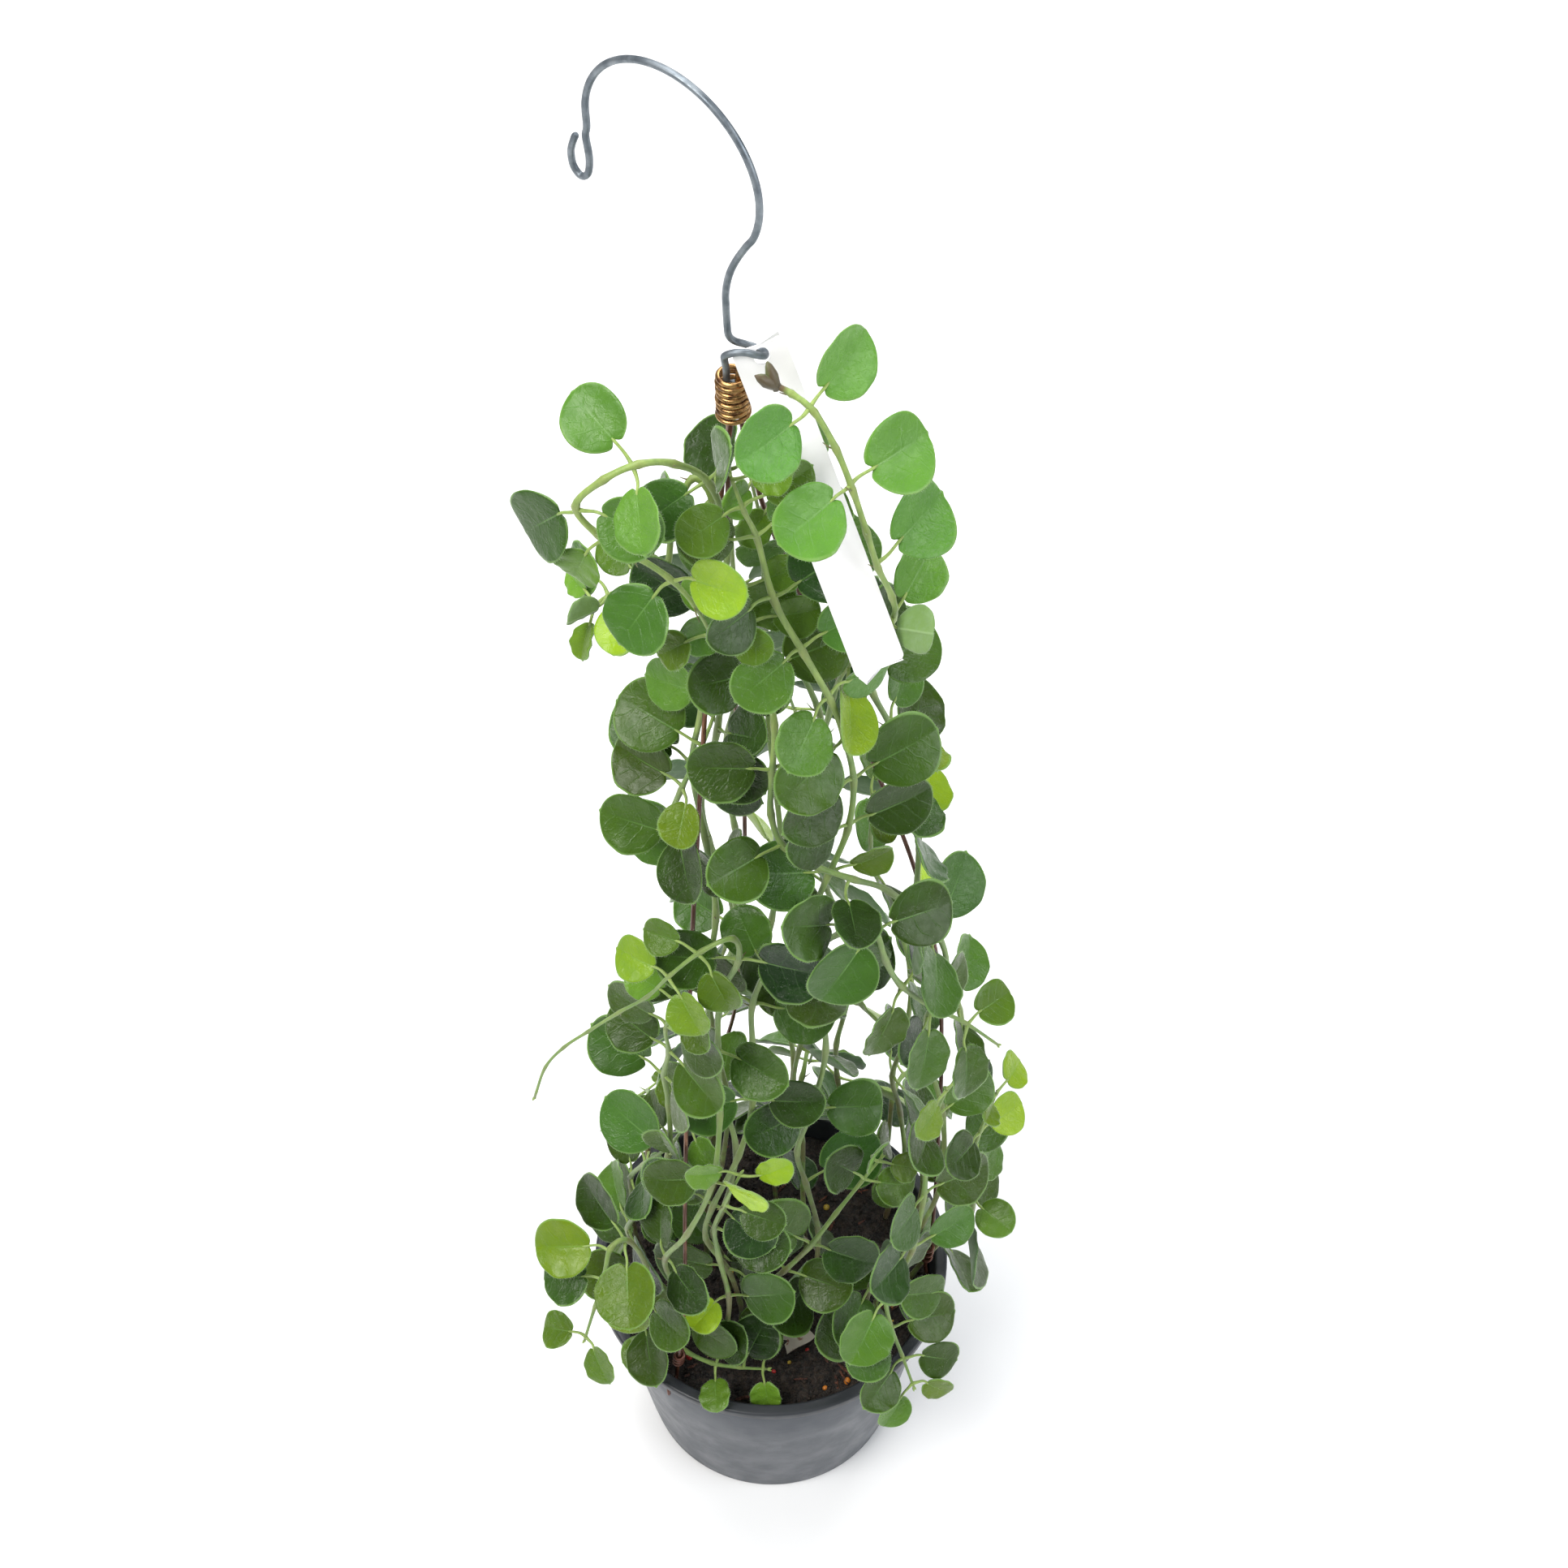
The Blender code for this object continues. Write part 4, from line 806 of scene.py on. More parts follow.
def label_shape():
    """The strip along its middle line: two faces a hair's breadth apart and the edge between them."""
    rows = smooth_route([Vector(p) * MM for p in LABEL_ROUTE], 9)
    across_hint = Vector(LABEL_ACROSS).normalized()
    vertices = []
    for layer in (1, -1):
        for i, point in enumerate(rows):
            share = i / (len(rows) - 1)
            ahead = (rows[min(i + 1, len(rows) - 1)] - rows[max(i - 1, 0)]).normalized()
            across = (across_hint - ahead * across_hint.dot(ahead)).normalized()
            out = ahead.cross(across).normalized()
            half = label_half_width(min((point - rows[0]).length, (point - rows[-1]).length))
            for j in range(LABEL_COLUMNS):
                y = 2 * j / (LABEL_COLUMNS - 1) - 1
                curl = 0.0005 * (y * y - 0.4) * math.sin(math.pi * share)
                vertices.append(point + across * half * y + out * (curl + layer * LABEL_THICKNESS / 2))
    return vertices, sheet_faces(len(rows), LABEL_COLUMNS)


def label_finish():
    """White satin plastic with a faint tooth and a few rubbed marks."""
    card = Finish("label_plastic", (0.93, 0.92, 0.925), 0.42)
    grime = card.remap(card.noise(130.0, 5), 0.52, 0.8)
    grime = card.sum("MULTIPLY", grime, 0.35)
    card.into("Base Color", card.blend(grime, (0.94, 0.925, 0.935), (0.76, 0.75, 0.72)))
    card.into("Roughness", card.remap(card.noise(300.0), 0.3, 0.7, 0.34, 0.52))
    card.relief(card.noise(1400.0), 0.00003, 0.5)
    return card.material


label = mesh_piece("blank_label", *label_shape(), [label_finish()], sharp=45)
hole_spot = Vector(LABEL_HOLE_SPOT) * MM
label_ahead = (Vector(LABEL_ROUTE[2]) - Vector(LABEL_ROUTE[0])).normalized()
hole_way = label_ahead.cross(Vector(LABEL_ACROSS)).normalized() * 0.003
cut_holes(label, [(hole_spot - hole_way, hole_spot + hole_way, LABEL_HOLE_RADIUS)], 45)
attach(label, "root")
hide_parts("label")

# The vines' stems.
# Trailing stems that root in the soil and wind up round the hanger wires. Each is fleshy and finely hairy,
# green at its tip, brown and corky at its foot, and a little swollen at every joint.
STEM_RADIUS = 0.00095
STEM_SIDES = 9
STEM_SPAN = 6
STEM_HAIRS = 2
STEM_HAIR_LENGTH = 0.00045
ROOTLET_SHARE = 0.3
CUT_VINES = ("vine_arc",)
HAIR_RADIUS = 0.000028
TWINE_RADIUS = 0.0036
TWINE_PERIOD = 0.124
TWINE_FROM = 0.090
TWINE_TO = 0.440
TWINE_TURN = 2.4
TWINE_EASE = 0.03
# Each vine's joints from the soil to its tip, in millimetres. The letters say which leaves a joint bears,
# seen from outside the plant with the tip upward: l, r, b for both, y for two young ones, a stop for none.
VINES = {
    "vine_arc": (
        [(12, 6, 82), (9, 9, 110), (8, 12, 140), (10, 14, 170), (12, 15, 200), (12, 14, 230), (11, 12, 260),
         (10, 10, 290), (8, 8, 320), (8, 4, 348), (11, -1, 375), (16, -6, 396), (22, -10, 414),
         (27, -15, 431), (31, -21, 449), (30, -26, 463), (26.5, -27, 475), (23.7, -26, 486),
         (20.2, -23, 497.6),
         (16.3, -20, 508), (11.2, -17, 517.1), (6.1, -14, 519.8), (2.4, -13, 521.5)],
        ".b..l.r.l.r.b.b.r.b.b.."),
    "vine_loop": (
        [(-14, -8, 82), (-16, -14, 110), (-15, -19, 140), (-14, -22, 170), (-14, -23, 200), (-16, -24, 230),
         (-17, -23, 260), (-18, -21, 290), (-18, -19, 320), (-18, -18, 350), (-16, -15, 380), (-14, -13, 410),
         (-13, -12, 440), (-12, -13, 468), (-13, -16, 492), (-21, -20, 503), (-29, -23, 506), (-37, -24, 502),
         (-44, -24, 493), (-39, -25, 484), (-31, -25, 477), (-23, -26, 470), (-17, -27, 461),
         (-13, -26, 448)],
        ".b...l.b..b.b.b.b.by.b.b"),
    "vine_inner_left": (
        [(-22, 4, 82), (-21, 6, 110), (-19, 8, 140), (-16, 9, 170), (-14, 9, 200), (-13, 8, 230),
         (-13, 7, 260), (-14, 6, 290), (-15, 4, 320), (-15, 3, 350), (-15, 2, 380), (-14, 2, 410),
         (-13, 3, 440), (-13, 5, 462), (-18, 6, 470), (-23, 3, 457), (-25, 1, 443), (-31, 0, 437),
         (-39, 0, 433), (-45, -1, 428)],
        ".b.r...l..b..b.bbbbb"),
    "vine_front": (
        [(-10, -20, 82), (-12, -26, 105), (-15, -31, 130), (-17, -34, 160), (-16, -35, 190), (-12, -34, 218),
         (-8, -33, 240), (-4, -31, 265), (-1, -30, 290), (2, -29, 313), (8, -30, 336), (13, -31, 354),
         (19, -30, 371), (23, -28, 388), (23, -26, 405), (18, -24, 422), (9, -24, 440), (2, -22, 457),
         (-2, -19, 476), (-5, -21, 488), (-8, -20, 499)],
        "..b.b.b.bb.bbbbbbbbbb"),
    "vine_cross": (
        [(36, -8, 82), (44, -13, 108), (50, -16, 138), (52, -13, 166), (51, -10, 195), (50, -8, 225),
         (50, -9, 255), (50, -12, 282), (44, -18, 308), (33, -27, 337), (25, -32, 352), (16, -34, 363),
         (8, -31, 368), (4, -27, 380), (2, -24, 396), (0, -22, 412), (-2, -20, 427), (-4, -18, 443),
         (-6, -17, 458)],
        ".b..r.b.b.brb.b.bbb"),
    "vine_reach": (
        [(16, -14, 82), (14, -18, 110), (12, -20, 140), (12, -22, 170), (12, -24, 200), (12, -25, 230),
         (13, -26, 260), (14, -28, 290), (17, -31, 318), (22, -36, 340), (29, -39, 347), (35, -41, 332),
         (40, -40, 314), (47, -39, 299), (55, -37, 287), (63, -35, 274)],
        ".b.r.b.b.bb.bbb"),
    "vine_right_up": (
        [(46, 12, 82), (50, 10, 110), (53, 8, 140), (56, 6, 170), (57, 5, 200), (56, 5, 230), (52, 5, 258),
         (47, 5, 285), (42, 3, 309), (38, 1, 333), (36, -1, 357), (35, -3, 380), (31, -5, 401), (25, -6, 420),
         (17, -6, 440), (9, -6, 460), (3, -5, 477), (-1, -9, 489)],
        ".br..b.b.bbbbbbbbb"),
    "vine_left_mid": (
        [(-28, 8, 82), (-27, 10, 110), (-24, 11, 140), (-20, 10, 170), (-18, 8, 200), (-16, 5, 230),
         (-15, 2, 260), (-13, -3, 288), (-12, -8, 313), (-15, -12, 333), (-19, -15, 347), (-23, -16, 362),
         (-22, -16, 378),
         (-20, -15, 394), (-17, -14, 410), (-15, -14, 428)],
        ".b.l.b.b.bbrbbb."),
    "vine_shoot": (
        [(-26, -24, 82), (-31, -31, 106), (-34, -37, 132), (-31, -43, 160), (-22, -45, 188), (-18, -41, 215),
         (-18, -38, 243), (-15, -36, 270), (-10, -33, 298), (-6, -33, 322), (-10, -36, 338), (-18, -38, 335),
         (-25, -40, 326), (-30, -40, 313), (-38, -40, 302), (-48, -40, 289), (-57, -40, 279), (-65, -40, 268),
         (-71, -40, 254)],
        ".b.b.b.b.b.yy......"),
    "vine_left_hang": (
        [(-40, -8, 82), (-43, -11, 108), (-43, -15, 136), (-40, -19, 165), (-35, -23, 195), (-31, -25, 222),
         (-28, -27, 245), (-26, -29, 268), (-29, -31, 286), (-27, -31, 300)],
        ".bb.b.bbbb"),
    "vine_left_rim": (
        [(-38, -22, 82), (-42, -28, 102), (-43, -34, 126), (-43, -38, 150), (-46, -41, 168), (-51, -45, 170),
         (-55, -48, 159), (-59, -50, 147), (-62, -52, 133)],
        ".bb.bbb.b"),
    "vine_left_back": (
        [(-44, 4, 82), (-48, 2, 104), (-47, -1, 125), (-43, -5, 146), (-37, -10, 170), (-31, -14, 192),
         (-28, -16, 208)],
        ".b.bbbb"),
    "vine_front_run": (
        [(-34, -26, 82), (-36, -31, 94), (-34, -36, 100), (-28, -41, 98), (-19, -44, 95), (-10, -45, 94),
         (-1, -45, 93)],
        ".b.bbbb"),
    "vine_front_mid": (
        [(-14, -30, 82), (-15, -34, 105), (-17, -38, 130), (-17, -40, 155), (-14, -42, 180), (-11, -43, 203),
         (-9, -43, 225)],
        ".bb.bbb"),
    "vine_right_front": (
        [(24, -26, 82), (30, -30, 104), (35, -34, 126), (38, -38, 142), (40, -43, 138), (41, -48, 126),
         (43, -53, 114), (46, -58, 104)],
        ".bb.bbbb"),
    "vine_right_climb": (
        [(34, -20, 82), (38, -22, 106), (40, -27, 130), (42, -31, 152), (46, -29, 175), (50, -27, 197),
         (53, -26, 220), (54, -25, 243)],
        ".b.bb.bb"),
    "vine_right_out": (
        [(48, -4, 82), (56, -5, 106), (63, -9, 126), (67, -13, 147), (67, -13, 170), (67, -11, 192),
         (68, -8, 213)],
        ".bbbbbb"),
    "vine_centre_low": (
        [(2, -16, 82), (1, -22, 100), (3, -28, 120), (7, -31, 140), (12, -31, 158), (18, -28, 172),
         (25, -24, 182), (31, -20, 188)],
        ".b.bb.bb"),
    "vine_back_left": (
        [(-18, 34, 82), (-20, 37, 110), (-20, 39, 140), (-18, 38, 170), (-16, 36, 200), (-14, 34, 230),
         (-12, 32, 260), (-11, 30, 290), (-10, 28, 320), (-10, 25, 350), (-10, 22, 380), (-10, 19, 410),
         (-9, 15, 440), (-9, 12, 468)],
        ".b.bb.r.b.bbbb"),
    "vine_back_right": (
        [(22, 34, 82), (24, 36, 110), (25, 37, 140), (24, 36, 170), (22, 34, 200), (21, 33, 230),
         (19, 31, 260), (17, 30, 290), (15, 29, 320), (11, 27, 350), (7, 24, 380), (3, 20, 410),
         (-1, 15, 440), (-4, 11, 466)],
        ".bb.b.b.b.bbbb"),
    "vine_back_mid": (
        [(2, 22, 82), (3, 25, 110), (4, 27, 140), (4, 27, 170), (3, 26, 200), (2, 25, 230), (1, 24, 260),
         (0, 23, 290), (1, 23, 318), (3, 27, 342), (4, 35, 354), (5, 43, 348), (6, 50, 333), (6, 54, 315)],
        "..b.b..b..bb.b"),
    "vine_back_low": (
        [(4, 44, 82), (5, 47, 104), (7, 52, 120), (9, 58, 126), (11, 64, 119), (12, 68, 106)],
        ".b.b.b"),
    "vine_back_out": (
        [(36, 30, 82), (40, 35, 104), (44, 41, 120), (48, 48, 124), (52, 54, 116), (55, 60, 102)],
        ".b.b.b"),
    "vine_left_out": (
        [(-38, 26, 82), (-41, 32, 104), (-42, 39, 117), (-42, 46, 121), (-42, 53, 114), (-43, 59, 100)],
        ".b.b.b"),
    "vine_right_back": (
        [(40, 20, 82), (43, 22, 110), (44, 23, 140), (43, 22, 170), (42, 21, 200), (40, 20, 230),
         (38, 20, 258), (35, 19, 285), (31, 17, 310), (27, 14, 335)],
        ".b.b.b.b.b"),
}

# How far apart the middle lines of stems, and of stems and what they pass, are kept.
STEM_SPACE = 0.0024
WIRE_SPACE = 0.0022
HOOK_SPACE = 0.0030
LABEL_SPACE = 0.0042
COIL_SPACE = COIL_RADIUS + 0.0022
BEND_ROUNDS = 60
BEND_PUSH = 1.4


def twined(index, points):
    """A climbing stem wound gently round its own middle line; each vine starts at another turn."""
    wound = []
    for point in points:
        spot = Vector(point) * MM
        turn = 2 * math.pi * spot.z / TWINE_PERIOD + TWINE_TURN * index
        below, above = max(0.0, spot.z - TWINE_FROM), max(0.0, TWINE_TO - spot.z)
        share = min(1.0, below / TWINE_EASE, above / TWINE_EASE)
        wound.append(spot + Vector((math.cos(turn), math.sin(turn), 0)) * TWINE_RADIUS * share)
    return wound


def nearest_between(starts_a, ends_a, starts_b, ends_b):
    """Closest points of pairs of straight spans: shares along both, and the vector from b to a."""
    along_a = ends_a - starts_a
    along_b = ends_b - starts_b
    between = starts_a - starts_b
    aa = (along_a * along_a).sum(1)
    bb = (along_b * along_b).sum(1)
    ab = (along_a * along_b).sum(1)
    a_gap = (along_a * between).sum(1)
    b_gap = (along_b * between).sum(1)
    spread = np.maximum(aa * bb - ab * ab, 1e-16)
    share_a = np.clip((ab * b_gap - a_gap * bb) / spread, 0, 1)
    share_b = np.clip((ab * share_a + b_gap) / bb, 0, 1)
    share_a = np.clip((ab * share_b - a_gap) / aa, 0, 1)
    gap = starts_a + along_a * share_a[:, None] - starts_b - along_b * share_b[:, None]
    return share_a, share_b, gap


def bend_clear(routes, fixed):
    """Bend the vines clear of each other and of the fixed wires, so that no two stems touch.

    fixed is a list of (points, space) that don't move. The first joint of a vine stays in the soil."""
    names = list(routes)
    points = np.array([p for name in names for p in routes[name]], float)
    owner = np.array([i for i, name in enumerate(names) for _ in routes[name]])
    joint = np.array([k for name in names for k in range(len(routes[name]))])
    moves = (joint > 0).astype(float)
    starts = np.array([i for i in range(len(points) - 1) if owner[i] == owner[i + 1]])
    still_a = np.array([p for line, _ in fixed for p in line[:-1]], float)
    still_b = np.array([p for line, _ in fixed for p in line[1:]], float)
    still_space = np.array([space for line, space in fixed for _ in line[:-1]])
    first, second = np.triu_indices(len(starts), 1)
    apart = owner[starts[first]] != owner[starts[second]]
    first, second = starts[first[apart]], starts[second[apart]]
    span_f, still_f = np.meshgrid(starts, np.arange(len(still_a)), indexing="ij")
    span_f, still_f = span_f.ravel(), still_f.ravel()
    for _ in range(BEND_ROUNDS):
        push = np.zeros_like(points)
        count = np.full(len(points), 1e-9)
        share_a, share_b, gap = nearest_between(points[first], points[first + 1], points[second],
                                                points[second + 1])
        size = np.maximum(np.linalg.norm(gap, axis=1), 1e-7)
        near = size < STEM_SPACE
        step = gap[near] / size[near, None] * ((STEM_SPACE - size[near]) * 0.5)[:, None]
        for index, share, sign in ((first, share_a, 1), (second, share_b, -1)):
            for end, weight in ((0, 1 - share[near]), (1, share[near])):
                np.add.at(push, index[near] + end, step * sign * weight[:, None])
                np.add.at(count, index[near] + end, weight)
        share_a, share_b, gap = nearest_between(points[span_f], points[span_f + 1], still_a[still_f],
                                                still_b[still_f])
        size = np.maximum(np.linalg.norm(gap, axis=1), 1e-7)
        near = size < still_space[still_f]
        step = gap[near] / size[near, None] * (still_space[still_f][near] - size[near])[:, None]
        for end, weight in ((0, 1 - share_a[near]), (1, share_a[near])):
            np.add.at(push, span_f[near] + end, step * weight[:, None])
            np.add.at(count, span_f[near] + end, weight)
        points += push / np.maximum(count, 1)[:, None] * BEND_PUSH * moves[:, None]
    points = np.round(points, 5)
    return {name: [Vector(p) for p in points[owner == i]] for i, name in enumerate(names)}


def label_lines():
    """Lines down the label's middle and near its edges, which the stems keep clear of."""
    middle = [Vector(p) * MM for p in LABEL_ROUTE]
    across = Vector(LABEL_ACROSS).normalized()
    lines = [[], [], []]
    for i, point in enumerate(middle):
        tangent = (middle[min(i + 1, len(middle) - 1)] - middle[max(i - 1, 0)]).normalized()
        width = (across - tangent * across.dot(tangent)).normalized()
        half = LABEL_WIDTH / 2 - (LABEL_CORNER if i in (0, len(middle) - 1) else 0)
        for line, share in zip(lines, (-0.66, 0.0, 0.66)):
            line.append(point + width * half * share)
    return lines


fixed_lines = [(wire_route(key, 2), WIRE_SPACE) for key in WIRE_ROUTES]
fixed_lines.append((hook_joints(), HOOK_SPACE))
neck_axis = [NECK + Vector((0, 0, COIL_BOTTOM - 0.0025)), NECK + Vector((0, 0, COIL_TOP + 0.0035))]
fixed_lines.append((neck_axis, COIL_SPACE))
fixed_lines += [(line, LABEL_SPACE) for line in label_lines()]
routes = {name: twined(k, points) for k, (name, (points, _)) in enumerate(VINES.items())}
routes = bend_clear(routes, fixed_lines)

# The leaves.
# Round, thick, cupped leaves on short curved stalks, one or two to a joint, turned to the light. They have a
# pale sunken midrib, faint side veins, a finely puckered skin and a fringe of soft white hairs.
PETIOLE_HALF = 0.00032
PETIOLE_LENGTH = 0.0050
PETIOLE_RADIUS = 0.00048
PETIOLE_SIDES = 7
ROOT_OFFSET = 0.0013
BLADE_THICKNESS = 0.0012
BLADE_HALF_THICKNESS = 0.00050
BLADE_DIP = 0.0004
BLADE_LENGTH = 0.0192
TOP_BLADE_LENGTH = 0.0176
TOP_LEAVES_FROM = 0.430
BLADE_CLEARANCE = 0.0004
NOTCH_DEPTH = 0.085
LIME_SHARE = 0.02
# Leaves that have turned lime or yellow and leaves that are fresh and pale, by their number along each vine.
LIME_LEAVES = {
    "vine_arc": {7: 0.55}, "vine_right_up": {4: 0.95, 6: 0.55, 11: 0.45}, "vine_back_right": {3: 0.5, 5: 0.6},
    "vine_right_climb": {9: 0.35}, "vine_right_out": {7: 0.75, 9: 0.6}, "vine_front_mid": {2: 0.85, 5: 0.65},
    "vine_left_mid": {12: 0.3}, "vine_left_rim": {5: 0.35, 7: 0.35, 4: 0.2, 2: 0.15},
    "vine_shoot": {11: 0.4, 12: 0.3},
}
FRESH_AND_SHEEN_LEAVES = {
    "vine_loop": {10: 0.55, 16: 0.45}, "vine_right_up": {16: 0.5, 18: 0.4},
    # The arc's upper leaves are fresh, and their paler green is partly a painted sheen for the light on their
    # upper sides.
    "vine_arc": {8: 0.7, 9: 0.7, 10: 0.8, 11: 0.8, 12: 0.85, 13: 1.0, 14: 0.9},
}
RIM_HAIRS = 80
RIM_HAIR_LENGTH = 0.00065
SKIN_HAIRS = 26
SKIN_HAIR_LENGTH = 0.00035
YOUNG_SIZE = 0.68
LEAF_SEED = 7
LEAF_TRIALS = 14
# A blade's outline from its base round to its tip: share of the length, share of the half width.
BLADE_OUTLINE = [(0.0, 0.15), (0.20, 0.98), (0.74, 0.96)]


def blade_outline(base, along, face, length, width, grow=0.0):
    """Points round a leaf's edge, from the left of its base past its tip to the right, and its middle."""
    side = face.cross(along).normalized()

    def spot(x, y):
        cup = 0.10 * width * (abs(y) / (width / 2)) ** 2 - 0.09 * length * (x / length - 0.45) ** 2
        return base + along * x + side * y + face * cup

    left = [(x * length, w * width / 2 + grow) for x, w in BLADE_OUTLINE]
    right = [(x, -y) for x, y in reversed(left)]
    outline = left + [(length * 1.03 + grow, 0.0)] + right
    return [spot(x, y) for x, y in outline], spot(length / 2, 0) - face * BLADE_DIP


def blade_probe(base, along, face, length, width):
    """The blade with its clearance all round, to find what it would come too near to."""
    points, middle = blade_outline(base, along, face, length, width, grow=BLADE_CLEARANCE)
    count = len(points)
    vertices = [p + face * BLADE_CLEARANCE for p in points] + [p - face * BLADE_CLEARANCE for p in points]
    swell = face * (BLADE_THICKNESS / 2 + BLADE_CLEARANCE)
    vertices += [middle + swell, middle - swell]
    faces = []
    for k in range(count):
        after = (k + 1) % count
        faces += [(2 * count, after, k), (2 * count + 1, count + k, count + after),
                  (k, after, count + after, count + k)]
    return vertices, faces


def leaf_solid(base, along, face, length, width, root):
    """A leaf: a stalk of three sides and a cupped blade, thick in the middle and thin at its rounded edge."""
    points, middle = blade_outline(base, along, face, length, width)
    count = len(points)
    swell = face * BLADE_THICKNESS / 2
    neck = face * PETIOLE_HALF
    vertices = [points[0] + neck] + points[1:-1] + [points[-1] + neck, middle + swell, middle - swell,
                                                   points[0] - neck, points[-1] - neck]
    over, under, low_left, low_right, end = count, count + 1, count + 2, count + 3, count + 4
    lower = [low_left] + list(range(1, count - 1)) + [low_right]
    faces = []
    for k in range(count):
        after = (k + 1) % count
        faces += [(over, after, k), (under, lower[k], lower[after])]
    way = (base - root).normalized()
    side = face.cross(along)
    across = (side - way * side.dot(way)).normalized()
    up = across.cross(way)
    if up.dot(face) < 0:
        up = -up
    for y, z in ((1, 0.8), (-1, 0.8), (0, -0.9)):
        vertices.append(root + across * y * PETIOLE_HALF + up * z * PETIOLE_HALF)
    faces += [(0, 1, low_left), (count - 2, count - 1, low_right), (count - 1, 0, end, end + 1),
              (low_right, count - 1, end + 1, end + 2), (low_left, low_right, end + 2),
              (0, low_left, end + 2, end), (end + 2, end + 1, end)]
    return vertices, faces


def light_at(point):
    """The way that leaves face at a point: outward from the plant's axis, upward and a little forward."""
    lean = NECK * ((point.z - SOIL_TOP) / (COIL_BOTTOM - SOIL_TOP))
    out = Vector((point.x - lean.x, point.y - lean.y, 0))
    if out.length < 0.004:
        out = Vector((0, -1, 0))
    out.normalize()
    return (out * 0.85 + Vector((0, -0.18, 0.62))).normalized()


def solid_tree(vertices, faces):
    return BVHTree.FromPolygons([tuple(v) for v in vertices], faces)


def place_leaves(routes, letters, obstacles):
    """Where each leaf goes: {vine: [(root, base, along, face, length, width)]}.

    Each joint's leaves spread to both sides of the stem and face the light. A leaf that would come nearer
    than BLADE_CLEARANCE to anything is turned, then made smaller, and left out if it still doesn't fit."""
    draw = random.Random(LEAF_SEED)
    trees = [(solid_tree(v, f), Vector(centre), reach, None) for v, f, centre, reach in obstacles]
    for name, route in routes.items():
        for i in range(len(route) - 1):
            middle = (route[i] + route[i + 1]) / 2
            reach = (route[i] - route[i + 1]).length / 2 + 0.001
            trees.append((solid_tree(*tube(route[i:i + 2], STEM_RADIUS, 4)), middle, reach, (name, i)))
    leaves = {name: [] for name in routes}
    for name, route in routes.items():
        for i, letter in enumerate(letters[name]):
            signs = {"b": (1, -1), "y": (1, -1), "r": (1,), "l": (-1,)}.get(letter, ())
            for sign in signs:
                leaf = fit_leaf(draw, name, route, i, sign, trees, YOUNG_SIZE if letter == "y" else 1.0)
                if leaf:
                    leaves[name].append(leaf)
    return leaves


def fit_leaf(draw, name, route, i, sign, trees, size_share):
    """One leaf at joint i, on the side that sign gives, or None where nothing fits."""
    last = i == len(route) - 1
    onward = (route[i - 1] - route[i] if last else route[i + 1] - route[i]).normalized()
    root = route[i] + onward * ROOT_OFFSET
    tangent = -onward if last else onward
    light = light_at(root)
    side = tangent.cross(light)
    if side.length < 0.2:
        side = tangent.cross(Vector((0, -1, 0.3)))
    side = side.normalized() * sign
    left_to_tip = len(route) - 1 - i
    young = size_share * ((0.62, 0.80, 0.93)[left_to_tip] if left_to_tip < 3 else 1.0)
    full_length = TOP_BLADE_LENGTH if root.z > TOP_LEAVES_FROM else BLADE_LENGTH
    for trial in range(LEAF_TRIALS):
        wander = 0.22 + 0.05 * trial
        turn = Vector([draw.uniform(-1, 1) for _ in range(3)]) * wander
        tilt = Vector([draw.uniform(-1, 1) for _ in range(3)]) * (0.30 + 0.05 * trial)
        scale = draw.uniform(0.86, 1.10) * young * (1.0 if trial < 6 else 0.86 if trial < 10 else 0.72)
        length = full_length * scale
        width = length * draw.uniform(0.92, 1.04)
        stalk = (side * 0.95 + light * 0.25 + tangent * 0.15 + turn * 0.5).normalized()
        along = (side * 0.80 + light * 0.12 + tangent * 0.25 + Vector((0, 0, -0.22)) + turn).normalized()
        if along.dot(stalk) < 0.5:
            continue
        face = light + tilt
        face = (face - along * face.dot(along)).normalized()
        base = root + stalk * PETIOLE_LENGTH * draw.uniform(0.85, 1.25)
        middle = base + along * length * 0.5
        probe = solid_tree(*blade_probe(base, along, face, length, width))
        reach = length * 0.62
        flare = [PETIOLE_HALF * 1.3 + BLADE_CLEARANCE, 0.09 * width + BLADE_CLEARANCE]
        stalk_probe = solid_tree(*tube([root + stalk * 0.0016, base + along * 0.0006], flare, 5))
        own = ((name, i - 1), (name, i))
        clear = not any(
            (centre - middle).length < reach + size and probe.overlap(tree)
            or (centre - base).length < 0.008 + size and key not in own and stalk_probe.overlap(tree)
            for tree, centre, size, key in trees)
        if clear:
            mesh = leaf_solid(base, along, face, length, width, root)
            trees.append((solid_tree(*mesh), middle, reach + PETIOLE_LENGTH, None))
            return root, base, along, face, length, width
    return None


def mesh_obstacle(obj):
    """An object's mesh as (vertices, faces, centre, reach) for the leaf placing."""
    vertices = [obj.matrix_world @ v.co for v in obj.data.vertices]
    faces = [tuple(p.vertices) for p in obj.data.polygons]
    centre = sum(vertices, Vector()) / len(vertices)
    reach = max((v - centre).length for v in vertices)
    return vertices, faces, centre, reach


# The plant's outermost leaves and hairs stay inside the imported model's size.
EDGE_MARGIN = 0.00002
LEAF_MARGIN = 0.0003
FIT_ROUNDS = 8
FIT_STEP = 0.985
inside_low = np.array(cad_low) + EDGE_MARGIN
inside_high = np.array(cad_high) - EDGE_MARGIN


